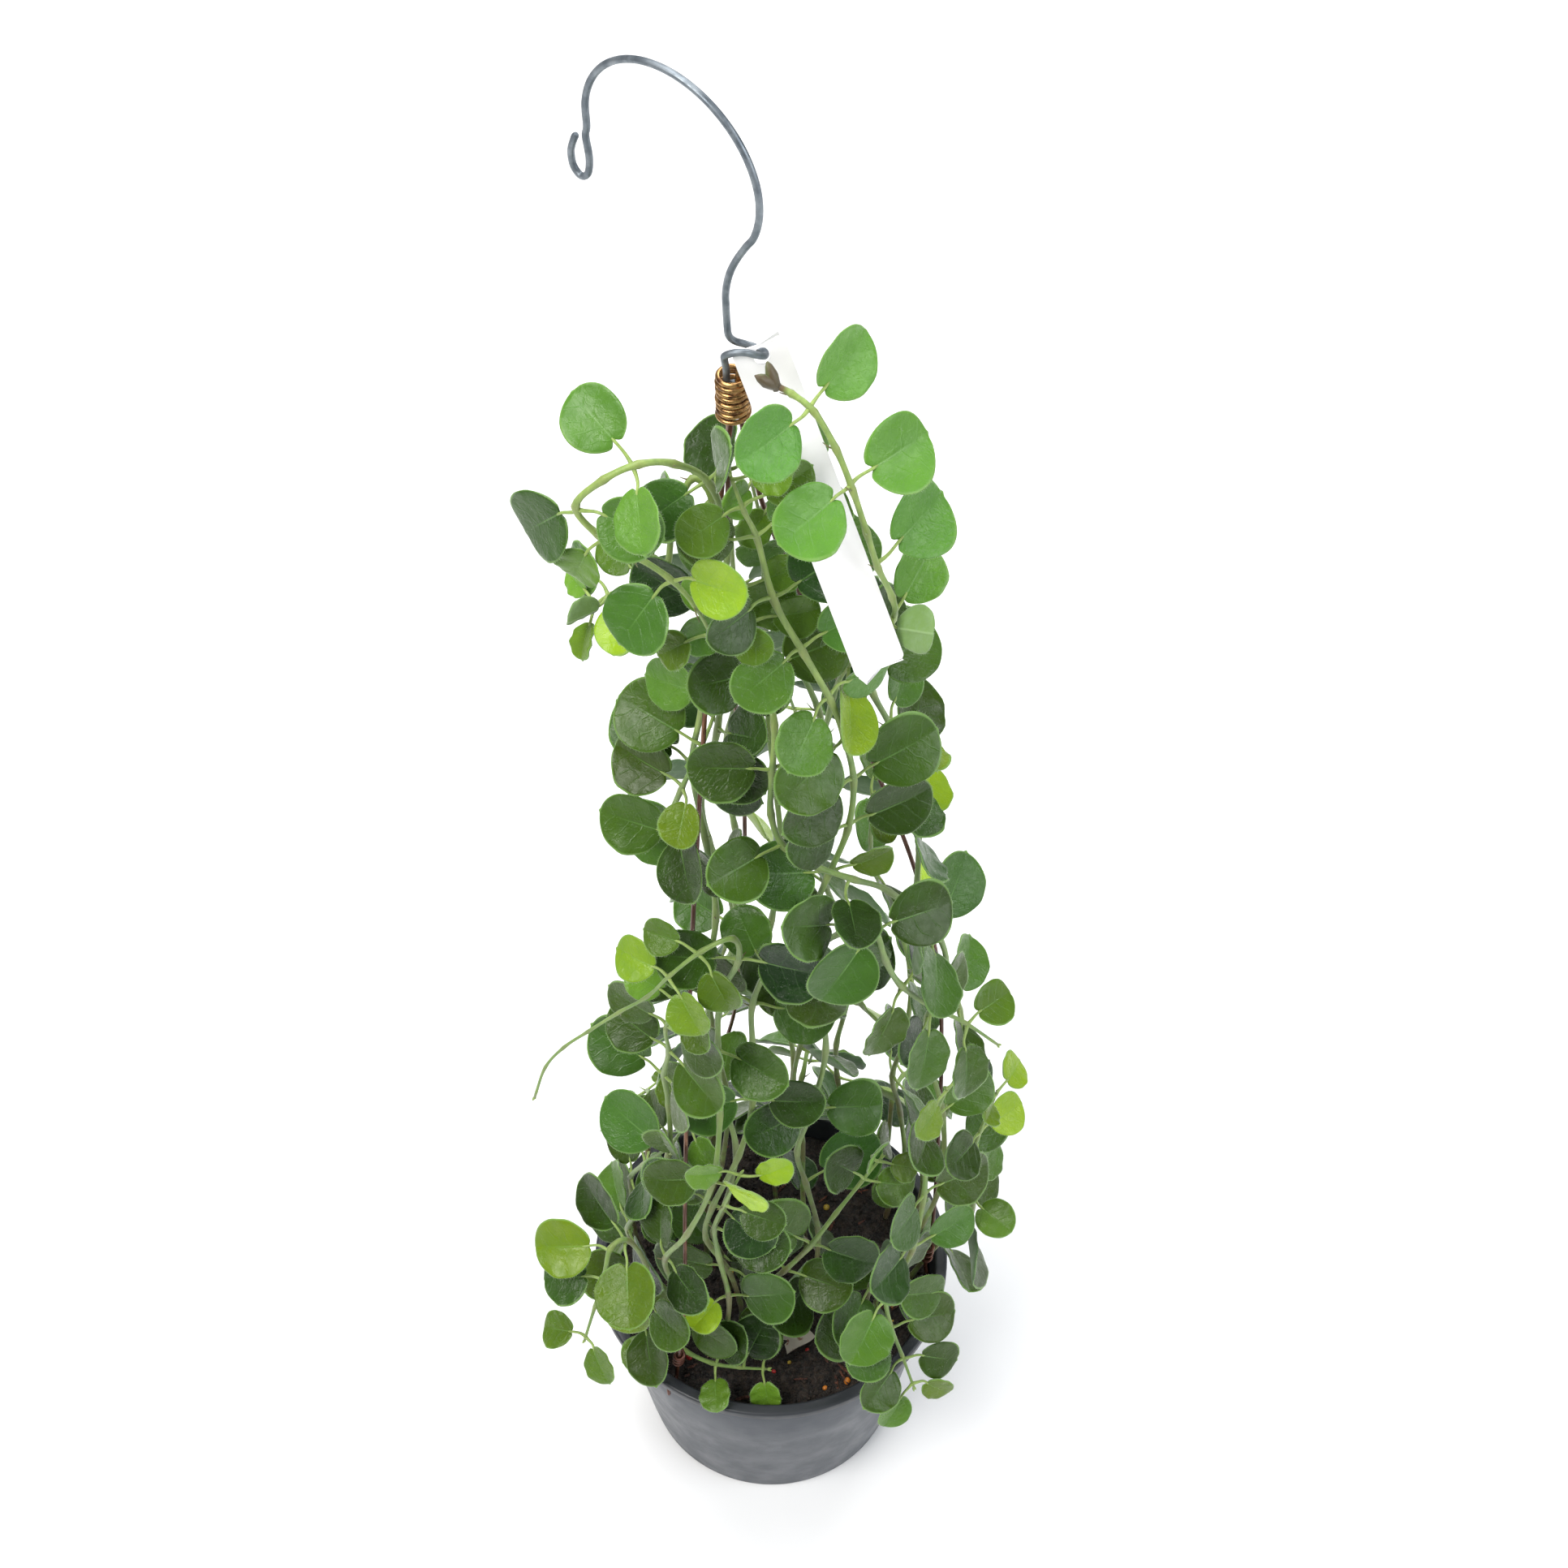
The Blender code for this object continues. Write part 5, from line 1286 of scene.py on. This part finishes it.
class Growth:
    """A vine's mesh as it is put together: corners, faces, the material of each face and what each point says
    of its place on a leaf and of that leaf's tone."""

    def __init__(self):
        self.corners, self.faces, self.skins, self.places, self.tones = [], [], [], [], []
        self.count = 0

    def add(self, corners, faces, skin, places=None, tone=(0.5, 0.0, 0.0)):
        corners = np.asarray([tuple(c) for c in corners] if isinstance(corners, list) else corners, float)
        corners = np.clip(corners, inside_low, inside_high)
        number = len(corners)
        self.corners.append(corners)
        self.faces += [tuple(i + self.count for i in face) for face in faces]
        self.skins += [skin] * len(faces) if isinstance(skin, int) else list(skin)
        self.places.append(np.zeros((number, 3)) if places is None else np.asarray(places, float))
        tone = np.asarray(tone, float)
        self.tones.append(np.tile(tone, (number, 1)) if tone.ndim == 1 else tone)
        self.count += number

    def piece(self, name, materials):
        corners = np.concatenate(self.corners)
        grown = mesh_piece(name, corners, self.faces, materials, face_materials=self.skins)
        for key, rows in (("leaf_place", self.places), ("leaf_tone", self.tones)):
            layer = grown.data.attributes.new(key, "FLOAT_VECTOR", "POINT")
            layer.data.foreach_set("vector", np.concatenate(rows).ravel())
        return grown


def stem_line(route):
    """A stem's smooth line from its foot in the soil to its tip, and how near each point is to a joint."""
    foot = Vector((route[0].x, route[0].y, SOIL_TOP - 0.004))
    line = smooth_route([foot] + list(route), STEM_SPAN)
    half = STEM_SPAN / 2
    nearness = [math.exp(-((((k + half) % STEM_SPAN) - half) / 0.9) ** 2) for k in range(len(line))]
    return line, nearness


def hairs(growth, draw, spots, length, tone):
    """Fine closed spikes that stand on (place, direction) pairs."""
    corners, faces = [], []
    for place, way in spots:
        reach = length * draw.uniform(0.6, 1.15)
        lean = (way + Vector([draw.uniform(-0.5, 0.5) for _ in range(3)])).normalized()
        side = lean.orthogonal().normalized()
        other = lean.cross(side)
        low = len(corners)
        for k in range(3):
            turn = 2 * math.pi * k / 3
            corners.append(place + (side * math.cos(turn) + other * math.sin(turn)) * HAIR_RADIUS)
        corners.append(place + lean * reach)
        faces += [(low + 2, low + 1, low), (low, low + 1, low + 3), (low + 1, low + 2, low + 3),
                  (low + 2, low, low + 3)]
    if corners:
        growth.add(corners, faces, HAIR_SKIN, tone=tone)


def grow_bud(growth, place, ahead, size, tone):
    """A pair of small folded leaves that haven't opened or have withered."""
    for sign in (1, -1):
        way = (ahead + ahead.orthogonal().normalized() * 0.35 * sign).normalized()
        points = [place + way * size * share for share in (-0.2, 0.1, 0.45, 0.8, 1.0)]
        radii = [size * share for share in (0.14, 0.22, 0.25, 0.15, 0.03)]
        growth.add(*tube(points, radii, 6), STEM_SKIN, tone=tone)


def sideways(draw, ahead):
    """A direction square to a stem, at any turn round it."""
    out = ahead.orthogonal().normalized()
    out.rotate(Quaternion(ahead, draw.uniform(0, 2 * math.pi)))
    return out


def grow_stem(growth, draw, route, bare, cut):
    """The stem, thicker at its joints and thin over its bare last ones, with hairs and a bud or a dry end."""
    line, nearness = stem_line(route)
    count = len(line)
    radii, tones = [], []
    for k, (point, near) in enumerate(zip(line, nearness)):
        to_tip = (count - 1 - k) / STEM_SPAN
        young = 0.9 if cut else min(1.0, 0.50 + 0.02 * to_tip + 0.15 * max(0.0, to_tip - bare))
        radii.append(STEM_RADIUS * young * (0.88 + 0.30 * near) * (0.75 if k == count - 1 else 1.0))
        age = max(0.0, 1.0 - (point.z - SOIL_TOP) / 0.16) if to_tip > 3 else 0.0
        if cut:
            age = max(age, 2.4 - 3 * to_tip)
        tones.append((age, near, draw.random() * 0.3 + 0.35 * (point.z > 0.40)))
    growth.add(*tube(line, radii, STEM_SIDES), STEM_SKIN, tone=np.repeat(np.array(tones), STEM_SIDES, axis=0))
    spots = []
    for k in range(2, count - 1):
        ahead = (line[k + 1] - line[k]).normalized()
        for _ in range(STEM_HAIRS):
            out = sideways(draw, ahead)
            spots.append((line[k].lerp(line[k + 1], draw.random()) + out * radii[k] * 0.9, out + ahead * 0.3))
    hairs(growth, draw, spots, STEM_HAIR_LENGTH, (0.5, 0.0, 0.0))
    tip_way = (line[-1] - line[-2]).normalized()
    if cut:
        grow_bud(growth, line[-1], (tip_way + Vector((0.1, -0.2, 0.9))).normalized(), 0.0065, (1.6, 0.4, 0.3))
    else:
        grow_bud(growth, line[-1], tip_way, 0.0017, (0.0, 0.0, 0.6))
    for joint in range(2, len(route) - 1):
        if draw.random() < ROOTLET_SHARE:
            ahead = (route[joint] - route[joint - 1]).normalized()
            out = sideways(draw, ahead)
            reach = draw.uniform(0.0018, 0.0034)
            points = [route[joint] + out * reach * share + ahead * reach * share * share
                      for share in (0.2, 0.6, 1.0)]
            growth.add(*tube(points, [0.00028, 0.00022, 0.00010], 5), STEM_SKIN, tone=(0.9, 0.6, 0.2))


# A leaf blade's grid: rows from its notched base to its tip, columns from edge to edge, closer at the midrib.
BLADE_ROWS = 20
BLADE_COLUMNS = np.array([-1, -0.975, -0.90, -0.76, -0.56, -0.34, -0.16, -0.07, -0.025,
                          0.025, 0.07, 0.16, 0.34, 0.56, 0.76, 0.90, 0.975, 1])


def blade_faces():
    """Faces of a closed blade: the upper grid, the lower grid reversed, both on one shared edge."""
    rows, columns = BLADE_ROWS + 1, len(BLADE_COLUMNS)
    under = {}
    below = rows * columns
    for i in range(rows):
        for j in range(columns):
            edge = i in (0, rows - 1) or j in (0, columns - 1)
            under[i, j] = i * columns + j if edge else below
            below += not edge
    faces, skins = [], []
    for i in range(rows - 1):
        for j in range(columns - 1):
            square = ((i, j), (i + 1, j), (i + 1, j + 1), (i, j + 1))
            faces.append(tuple(a * columns + b for a, b in reversed(square)))
            faces.append(tuple(under[corner] for corner in square))
            skins += [TOP_SKIN, UNDER_SKIN]
    return faces, skins


def blade_surface(draw, length, width):
    """The blade's upper and lower grids in its own measures: along, across and outward."""
    t = np.linspace(0, 1, BLADE_ROWS + 1)
    t = (0.5 - 0.5 * np.cos(np.pi * t))[:, None]
    v = BLADE_COLUMNS[None, :]
    full = draw.uniform(2.0, 2.25)
    wide_at = draw.uniform(-0.03, 0.07)
    along = 0.030 + 0.950 * t
    skewed = along - wide_at * np.sin(np.pi * along)
    half = (width / 2) * (1 - np.abs(2 * skewed - 1) ** full) ** 0.5
    base = -0.030 * (1 - v * v) + NOTCH_DEPTH * draw.uniform(0.5, 1.2) * np.exp(-(v / 0.36) ** 2)
    tip = 0.020 * (1 - v * v) + 0.026 * draw.uniform(0.0, 1.3) * np.exp(-(v / 0.20) ** 2)
    x = length * (along + base * (1 - t) ** 5 + tip * t ** 5)
    lopsided = draw.uniform(-0.05, 0.05)
    y = half * v * (1 + lopsided * np.sign(v) * np.sin(np.pi * t))
    reach = np.abs(v) ** 2 * np.sin(np.pi * np.clip(t, 0.03, 0.97)) ** 0.5
    fold = draw.uniform(-0.02, 0.16)
    waves = draw.uniform(0.0, 0.00045)
    z = 0.10 * width * (np.abs(y) / (width / 2)) ** 2 - 0.09 * length * (x / length - 0.45) ** 2
    z = z + fold * np.abs(y) - fold * width * 0.16
    z = z + waves * reach * np.sin(6.0 * np.pi * along + draw.uniform(0, 6.3) + 1.6 * v)
    z = z + draw.uniform(-0.0006, 0.0006) * (v * np.abs(v)) * np.ones_like(t)
    pucker = np.sin(x * 2100 + 1.7 * np.sin(y * 1500 + 5 * waves)) * np.sin(y * 1900 + 1.3 * np.sin(x * 1700))
    z = z + 0.00007 * pucker * (1 - np.abs(v) ** 4)
    rim = np.clip(1 - np.abs(v) ** 7, 0, 1) * np.clip(1 - (1 - t) ** 16, 0, 1) * np.clip(1 - t ** 16, 0, 1)
    thick = BLADE_HALF_THICKNESS * rim ** 0.5
    rib_fade = np.clip(1 - along, 0, 1) ** 0.6
    groove = 0.00016 * np.exp(-(y / 0.00042) ** 2) * rib_fade
    ridge = 0.00034 * np.exp(-(y / 0.00050) ** 2) * rib_fade
    upper = np.stack([x + 0 * v, y + 0 * x, z + thick - groove], axis=-1)
    lower = np.stack([x + 0 * v, y + 0 * x, z - thick - ridge * rim ** 0.5], axis=-1)
    middle_x = x / length * 2 - 1
    edge = np.clip(np.sqrt(middle_x ** 2 + (y / (width / 2)) ** 2), 0, 1)
    place = np.stack([x / length + 0 * v, y / (width / 2), edge], axis=-1)
    return upper, lower, place


def leaf_tone(draw, name, number, root, young):
    """How fresh, yellow and puckered a leaf is: top and young ones are fresher, a few are lime, and the
    listed arc leaves are paler, partly as a painted sheen.
    """
    height = (root.z - SOIL_TOP) / 0.42
    high_up = min(1.0, max(0.0, (height - 0.70) / 0.2))
    fresh = 0.08 + 0.18 * high_up + 0.6 * (1 - young) + draw.uniform(-0.24, 0.50)
    fresh = min(1.0, max(0.0, fresh)) ** 1.6
    turning = draw.random()
    yellow = draw.uniform(0.50, 1.0) if turning < LIME_SHARE else draw.uniform(0.0, 0.10) + 0.45 * (1 - young)
    yellow = LIME_LEAVES.get(name, {}).get(number, yellow)
    # For the listed arc leaves this paler, fresh green is partly a painted sheen.
    fresh = FRESH_AND_SHEEN_LEAVES.get(name, {}).get(number, fresh)
    return fresh, min(1.0, yellow), draw.random()


def fit_inside(start, turn, upper, lower):
    """The blade's grids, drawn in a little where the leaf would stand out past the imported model."""
    for _ in range(FIT_ROUNDS):
        reached = start + upper.reshape(-1, 3) @ turn
        above = reached.min(0) > inside_low + LEAF_MARGIN
        below = reached.max(0) < inside_high - LEAF_MARGIN
        if above.all() and below.all():
            break
        upper, lower = upper * FIT_STEP, lower * FIT_STEP
    return upper, lower


def grow_stalk(growth, draw, leaf, side, tone):
    """A leaf's stalk, curved from its joint into the notch of the blade and on along its underside."""
    root, base, along, face, length, _ = leaf
    neck = base + along * length * 0.085 - face * 0.0002
    stalk = (base - root).normalized()
    reach = (neck - root).length
    leave = root + (stalk + side * draw.uniform(-0.35, 0.35) - face * draw.uniform(0.0, 0.35)) * reach * 0.45
    arrive = neck - (along + face * draw.uniform(-0.10, 0.60)) * reach * 0.42
    route = []
    for k in range(9):
        t = k / 8
        route.append(root * (1 - t) ** 3 + leave * 3 * t * (1 - t) ** 2
                     + arrive * 3 * t * t * (1 - t) + neck * t ** 3)
    route += [neck + along * length * 0.06 - face * 0.0001, neck + along * length * 0.13 - face * 0.0003]
    radii = [PETIOLE_RADIUS * (0.85 + 0.5 * (1 - k / 8) ** 3) for k in range(9)]
    radii += [PETIOLE_RADIUS * 0.7, PETIOLE_RADIUS * 0.3]
    paleness = 0.40 + 0.4 * tone[1] + 0.3 * tone[0]
    growth.add(*tube(route, radii, PETIOLE_SIDES), STEM_SKIN, tone=(0.0, 0.0, paleness))


def fringe_spots(draw, top, leaf, side):
    """Where the hairs of a blade's edge stand and which way they point."""
    _, base, along, face, length, _ = leaf
    rows, columns = top.shape[:2]
    rim = [(0, j) for j in range(columns)] + [(i, columns - 1) for i in range(1, rows)]
    rim += [(rows - 1, j) for j in range(columns - 2, -1, -1)] + [(i, 0) for i in range(rows - 2, 0, -1)]
    loop = [Vector(top[i, j]) for i, j in rim]
    middle = Vector((length / 2, 0, 0))
    spacing = sum((a - b).length for a, b in zip(loop, loop[1:] + loop[:1])) / RIM_HAIRS
    spots = []
    carried = 0.0
    for a, b in zip(loop, loop[1:] + loop[:1]):
        span = (b - a).length
        while carried < span:
            spot = a.lerp(b, carried / span)
            out = (spot - middle).normalized()
            world = base + along * spot.x + side * spot.y + face * spot.z
            spots.append((world, along * out.x + side * out.y + face * draw.uniform(-0.2, 0.4)))
            carried += spacing * draw.uniform(0.6, 1.4)
        carried -= span
    return spots


def skin_spots(draw, upper, leaf, side):
    """Where the sparse hairs of a blade's upper skin stand and which way they point."""
    _, base, along, face, _, _ = leaf
    rows, columns = upper.shape[:2]
    spots = []
    for _ in range(SKIN_HAIRS):
        i, j = draw.randrange(1, rows - 1), draw.randrange(1, columns - 1)
        spot = upper[i, j]
        world = base + along * spot[0] + side * spot[1] + face * (spot[2] - 0.00003)
        spots.append((world, face + along * 0.5))
    return spots


def grow_leaf(growth, draw, name, number, leaf):
    """A leaf: its blade, its stalk and the hairs along its edge and on its skin."""
    root, base, along, face, length, width = leaf
    face = (face - along * face.dot(along)).normalized()
    side = face.cross(along).normalized()
    leaf = (root, base, along, face, length, width)
    young = min(1.0, length / (BLADE_LENGTH * 0.86))
    tone = leaf_tone(draw, name, number, root, young)
    upper, lower, place = blade_surface(draw, length, width)
    turn = np.array([tuple(along), tuple(side), tuple(face)])
    start = np.array(tuple(base))
    upper, lower = fit_inside(start, turn, upper, lower)
    edge = np.zeros(upper.shape[:2], bool)
    edge[[0, -1], :] = True
    edge[:, [0, -1]] = True
    top = np.where(edge[..., None], (upper + lower) / 2, upper)
    local = np.concatenate([top.reshape(-1, 3), lower[~edge]])
    places = np.concatenate([place.reshape(-1, 3), place[~edge]])
    faces, skins = BLADE_FACES
    growth.add(start + local @ turn, faces, skins, places, tone)
    grow_stalk(growth, draw, leaf, side, tone)
    hairs(growth, draw, fringe_spots(draw, top, leaf, side), RIM_HAIR_LENGTH, tone)
    hairs(growth, draw, skin_spots(draw, upper, leaf, side), SKIN_HAIR_LENGTH, tone)


def leaf_top_finish():
    """A leaf's upper skin: waxy deep green with a thin pale midrib, side veins, a pale edge and puckers."""
    skin = Finish("leaf_upper_skin", (0.04, 0.13, 0.03), 0.34, Specular_IOR_Level=0.30)
    place = skin.parts("leaf_place")
    tone = skin.parts("leaf_tone")
    across = skin.sum("ABSOLUTE", place[1])
    deep = skin.blend(tone[2], (0.0035, 0.022, 0.001), (0.006, 0.025, 0.006))
    # tone[0] blends in the fresh green, which on the listed arc leaves is partly a painted sheen.
    colour = skin.blend(tone[0], deep, (0.115, 0.310, 0.045))
    colour = skin.blend(tone[1], colour, (0.40, 0.60, 0.018))
    mottle = skin.remap(skin.noise(210.0, 5, 0.6), 0.3, 0.7)
    colour = skin.blend(skin.sum("MULTIPLY", mottle, 0.45), colour, (0.60, 0.72, 0.58), "MULTIPLY")
    colour = skin.blend(skin.remap(skin.noise(75.0, 3), 0.45, 0.75, 0.0, 0.14), colour, (0.075, 0.22, 0.020))
    slant = skin.sum("SUBTRACT", skin.sum("MULTIPLY", place[0], 4.6), skin.sum("MULTIPLY", across, 1.25))
    wander = skin.sum("MULTIPLY", skin.noise(120.0, 2), 1.1)
    bars = skin.sum("PINGPONG", skin.sum("ADD", slant, wander), 0.5)
    side_vein = skin.remap(bars, 0.0, 0.075, 1.0, 0.0)
    inside = skin.remap(across, 0.55, 0.90, 1.0, 0.0)
    side_vein = skin.sum("MULTIPLY", side_vein, inside)
    midrib = skin.remap(across, 0.006, 0.034, 1.0, 0.0)
    midrib = skin.sum("MULTIPLY", midrib, skin.remap(place[0], 0.25, 0.85, 1.0, 0.0))
    colour = skin.blend(skin.sum("MULTIPLY", side_vein, 0.07), colour, (0.12, 0.30, 0.07))
    colour = skin.blend(skin.sum("MULTIPLY", midrib, 0.36), colour, (0.19, 0.38, 0.10))
    edge = skin.remap(place[2], 0.945, 1.0)
    colour = skin.blend(skin.sum("MULTIPLY", edge, 0.65), colour, (0.20, 0.36, 0.09))
    specks = skin.sum("MULTIPLY", skin.remap(skin.cells(1500.0), 0.06, 0.15, 1.0, 0.0),
                      skin.remap(skin.noise(130.0, 3), 0.50, 0.62))
    colour = skin.blend(skin.sum("MULTIPLY", specks, 0.45), colour, (0.42, 0.50, 0.40))
    skin.into("Base Color", colour)
    skin.into("Roughness", skin.remap(skin.noise(420.0, 4), 0.3, 0.7, 0.24, 0.42))
    strength = skin.remap(tone[2], 0.0, 1.0, 0.16, 0.42)
    puckers = skin.relief(skin.noise(700.0, 3, 0.55, twist=0.6), 0.0009, strength)
    veined = skin.sum("ADD", skin.sum("MULTIPLY", side_vein, 0.4), skin.sum("MULTIPLY", midrib, 0.7))
    skin.relief(skin.sum("MULTIPLY", veined, -1.0), 0.00016, 0.6, under=puckers)
    return skin.material


def leaf_under_finish():
    """A leaf's underside: duller and paler grey-green, with its veins standing out."""
    skin = Finish("leaf_under_skin", (0.14, 0.26, 0.10), 0.6, Sheen_Weight=0.25, Sheen_Roughness=0.5)
    place = skin.parts("leaf_place")
    tone = skin.parts("leaf_tone")
    across = skin.sum("ABSOLUTE", place[1])
    colour = skin.blend(tone[0], (0.060, 0.130, 0.055), (0.11, 0.23, 0.06))
    colour = skin.blend(skin.sum("MULTIPLY", tone[1], 0.9), colour, (0.38, 0.55, 0.08))
    midrib = skin.remap(across, 0.015, 0.07, 1.0, 0.0)
    colour = skin.blend(skin.sum("MULTIPLY", midrib, 0.5), colour, (0.30, 0.44, 0.20))
    colour = skin.blend(skin.remap(skin.noise(500.0, 4), 0.4, 0.7, 0.0, 0.3), colour, (0.20, 0.31, 0.16))
    skin.into("Base Color", colour)
    skin.relief(skin.noise(700.0, 4), 0.0003, 0.5)
    return skin.material


def stem_finish():
    """Fleshy stem skin: yellow-green, brown and corky where it is old and at its joints."""
    skin = Finish("stem_skin", (0.22, 0.33, 0.08), 0.5, Sheen_Weight=0.15)
    tone = skin.parts("leaf_tone")
    colour = skin.blend(tone[2], (0.14, 0.25, 0.050), (0.36, 0.47, 0.11))
    streaks = skin.noise(1.0, 3, where=skin.stretched(900, 900, 120))
    colour = skin.blend(skin.remap(streaks, 0.35, 0.7, 0.0, 0.4), colour, (0.12, 0.20, 0.05))
    colour = skin.blend(skin.sum("MULTIPLY", tone[0], skin.remap(skin.noise(150.0), 0.35, 0.6)), colour,
                        (0.13, 0.085, 0.035))
    colour = skin.blend(skin.sum("MULTIPLY", tone[1], 0.25), colour, (0.20, 0.16, 0.06))
    colour = skin.blend(skin.remap(tone[0], 1.2, 2.0), colour, (0.045, 0.040, 0.030))
    skin.into("Base Color", colour)
    skin.relief(skin.noise(900.0, 3), 0.0002, 0.5)
    return skin.material


def hair_finish():
    """Soft colourless hair, whitish against the leaf and a little yellower on a lime one."""
    down = Finish("leaf_hair", (0.62, 0.70, 0.50), 0.6)
    tone = down.parts("leaf_tone")
    fade = down.blend(tone[1], (0.50, 0.62, 0.42), (0.72, 0.80, 0.42))
    down.into("Base Color", down.blend(down.noise(300.0), fade, (0.66, 0.74, 0.58)))
    return down.material


TOP_SKIN, UNDER_SKIN, STEM_SKIN, HAIR_SKIN = range(4)
BLADE_FACES = blade_faces()
greens = [leaf_top_finish(), leaf_under_finish(), stem_finish(), hair_finish()]
hardware = ("pot", "hanger_wire_left", "hanger_wire_right", "hanger_wire_back", "neck_coil", "hook", "label",
            "soil")
obstacles = [mesh_obstacle(frame["nodes"][name]) for name in hardware]
letters = {name: marks for name, (_, marks) in VINES.items()}
leaves = place_leaves(routes, letters, obstacles)
leaf_draw = random.Random(LEAF_SEED + 1)
for name, route in routes.items():
    growth = Growth()
    bare = len(letters[name]) - len(letters[name].rstrip("."))
    grow_stem(growth, leaf_draw, route, bare, name in CUT_VINES)
    for number, leaf in enumerate(leaves[name]):
        grow_leaf(growth, leaf_draw, name, number, leaf)
    vine = growth.piece(f"{name}_in_leaf", greens)
    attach(vine, "root")
    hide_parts(name)
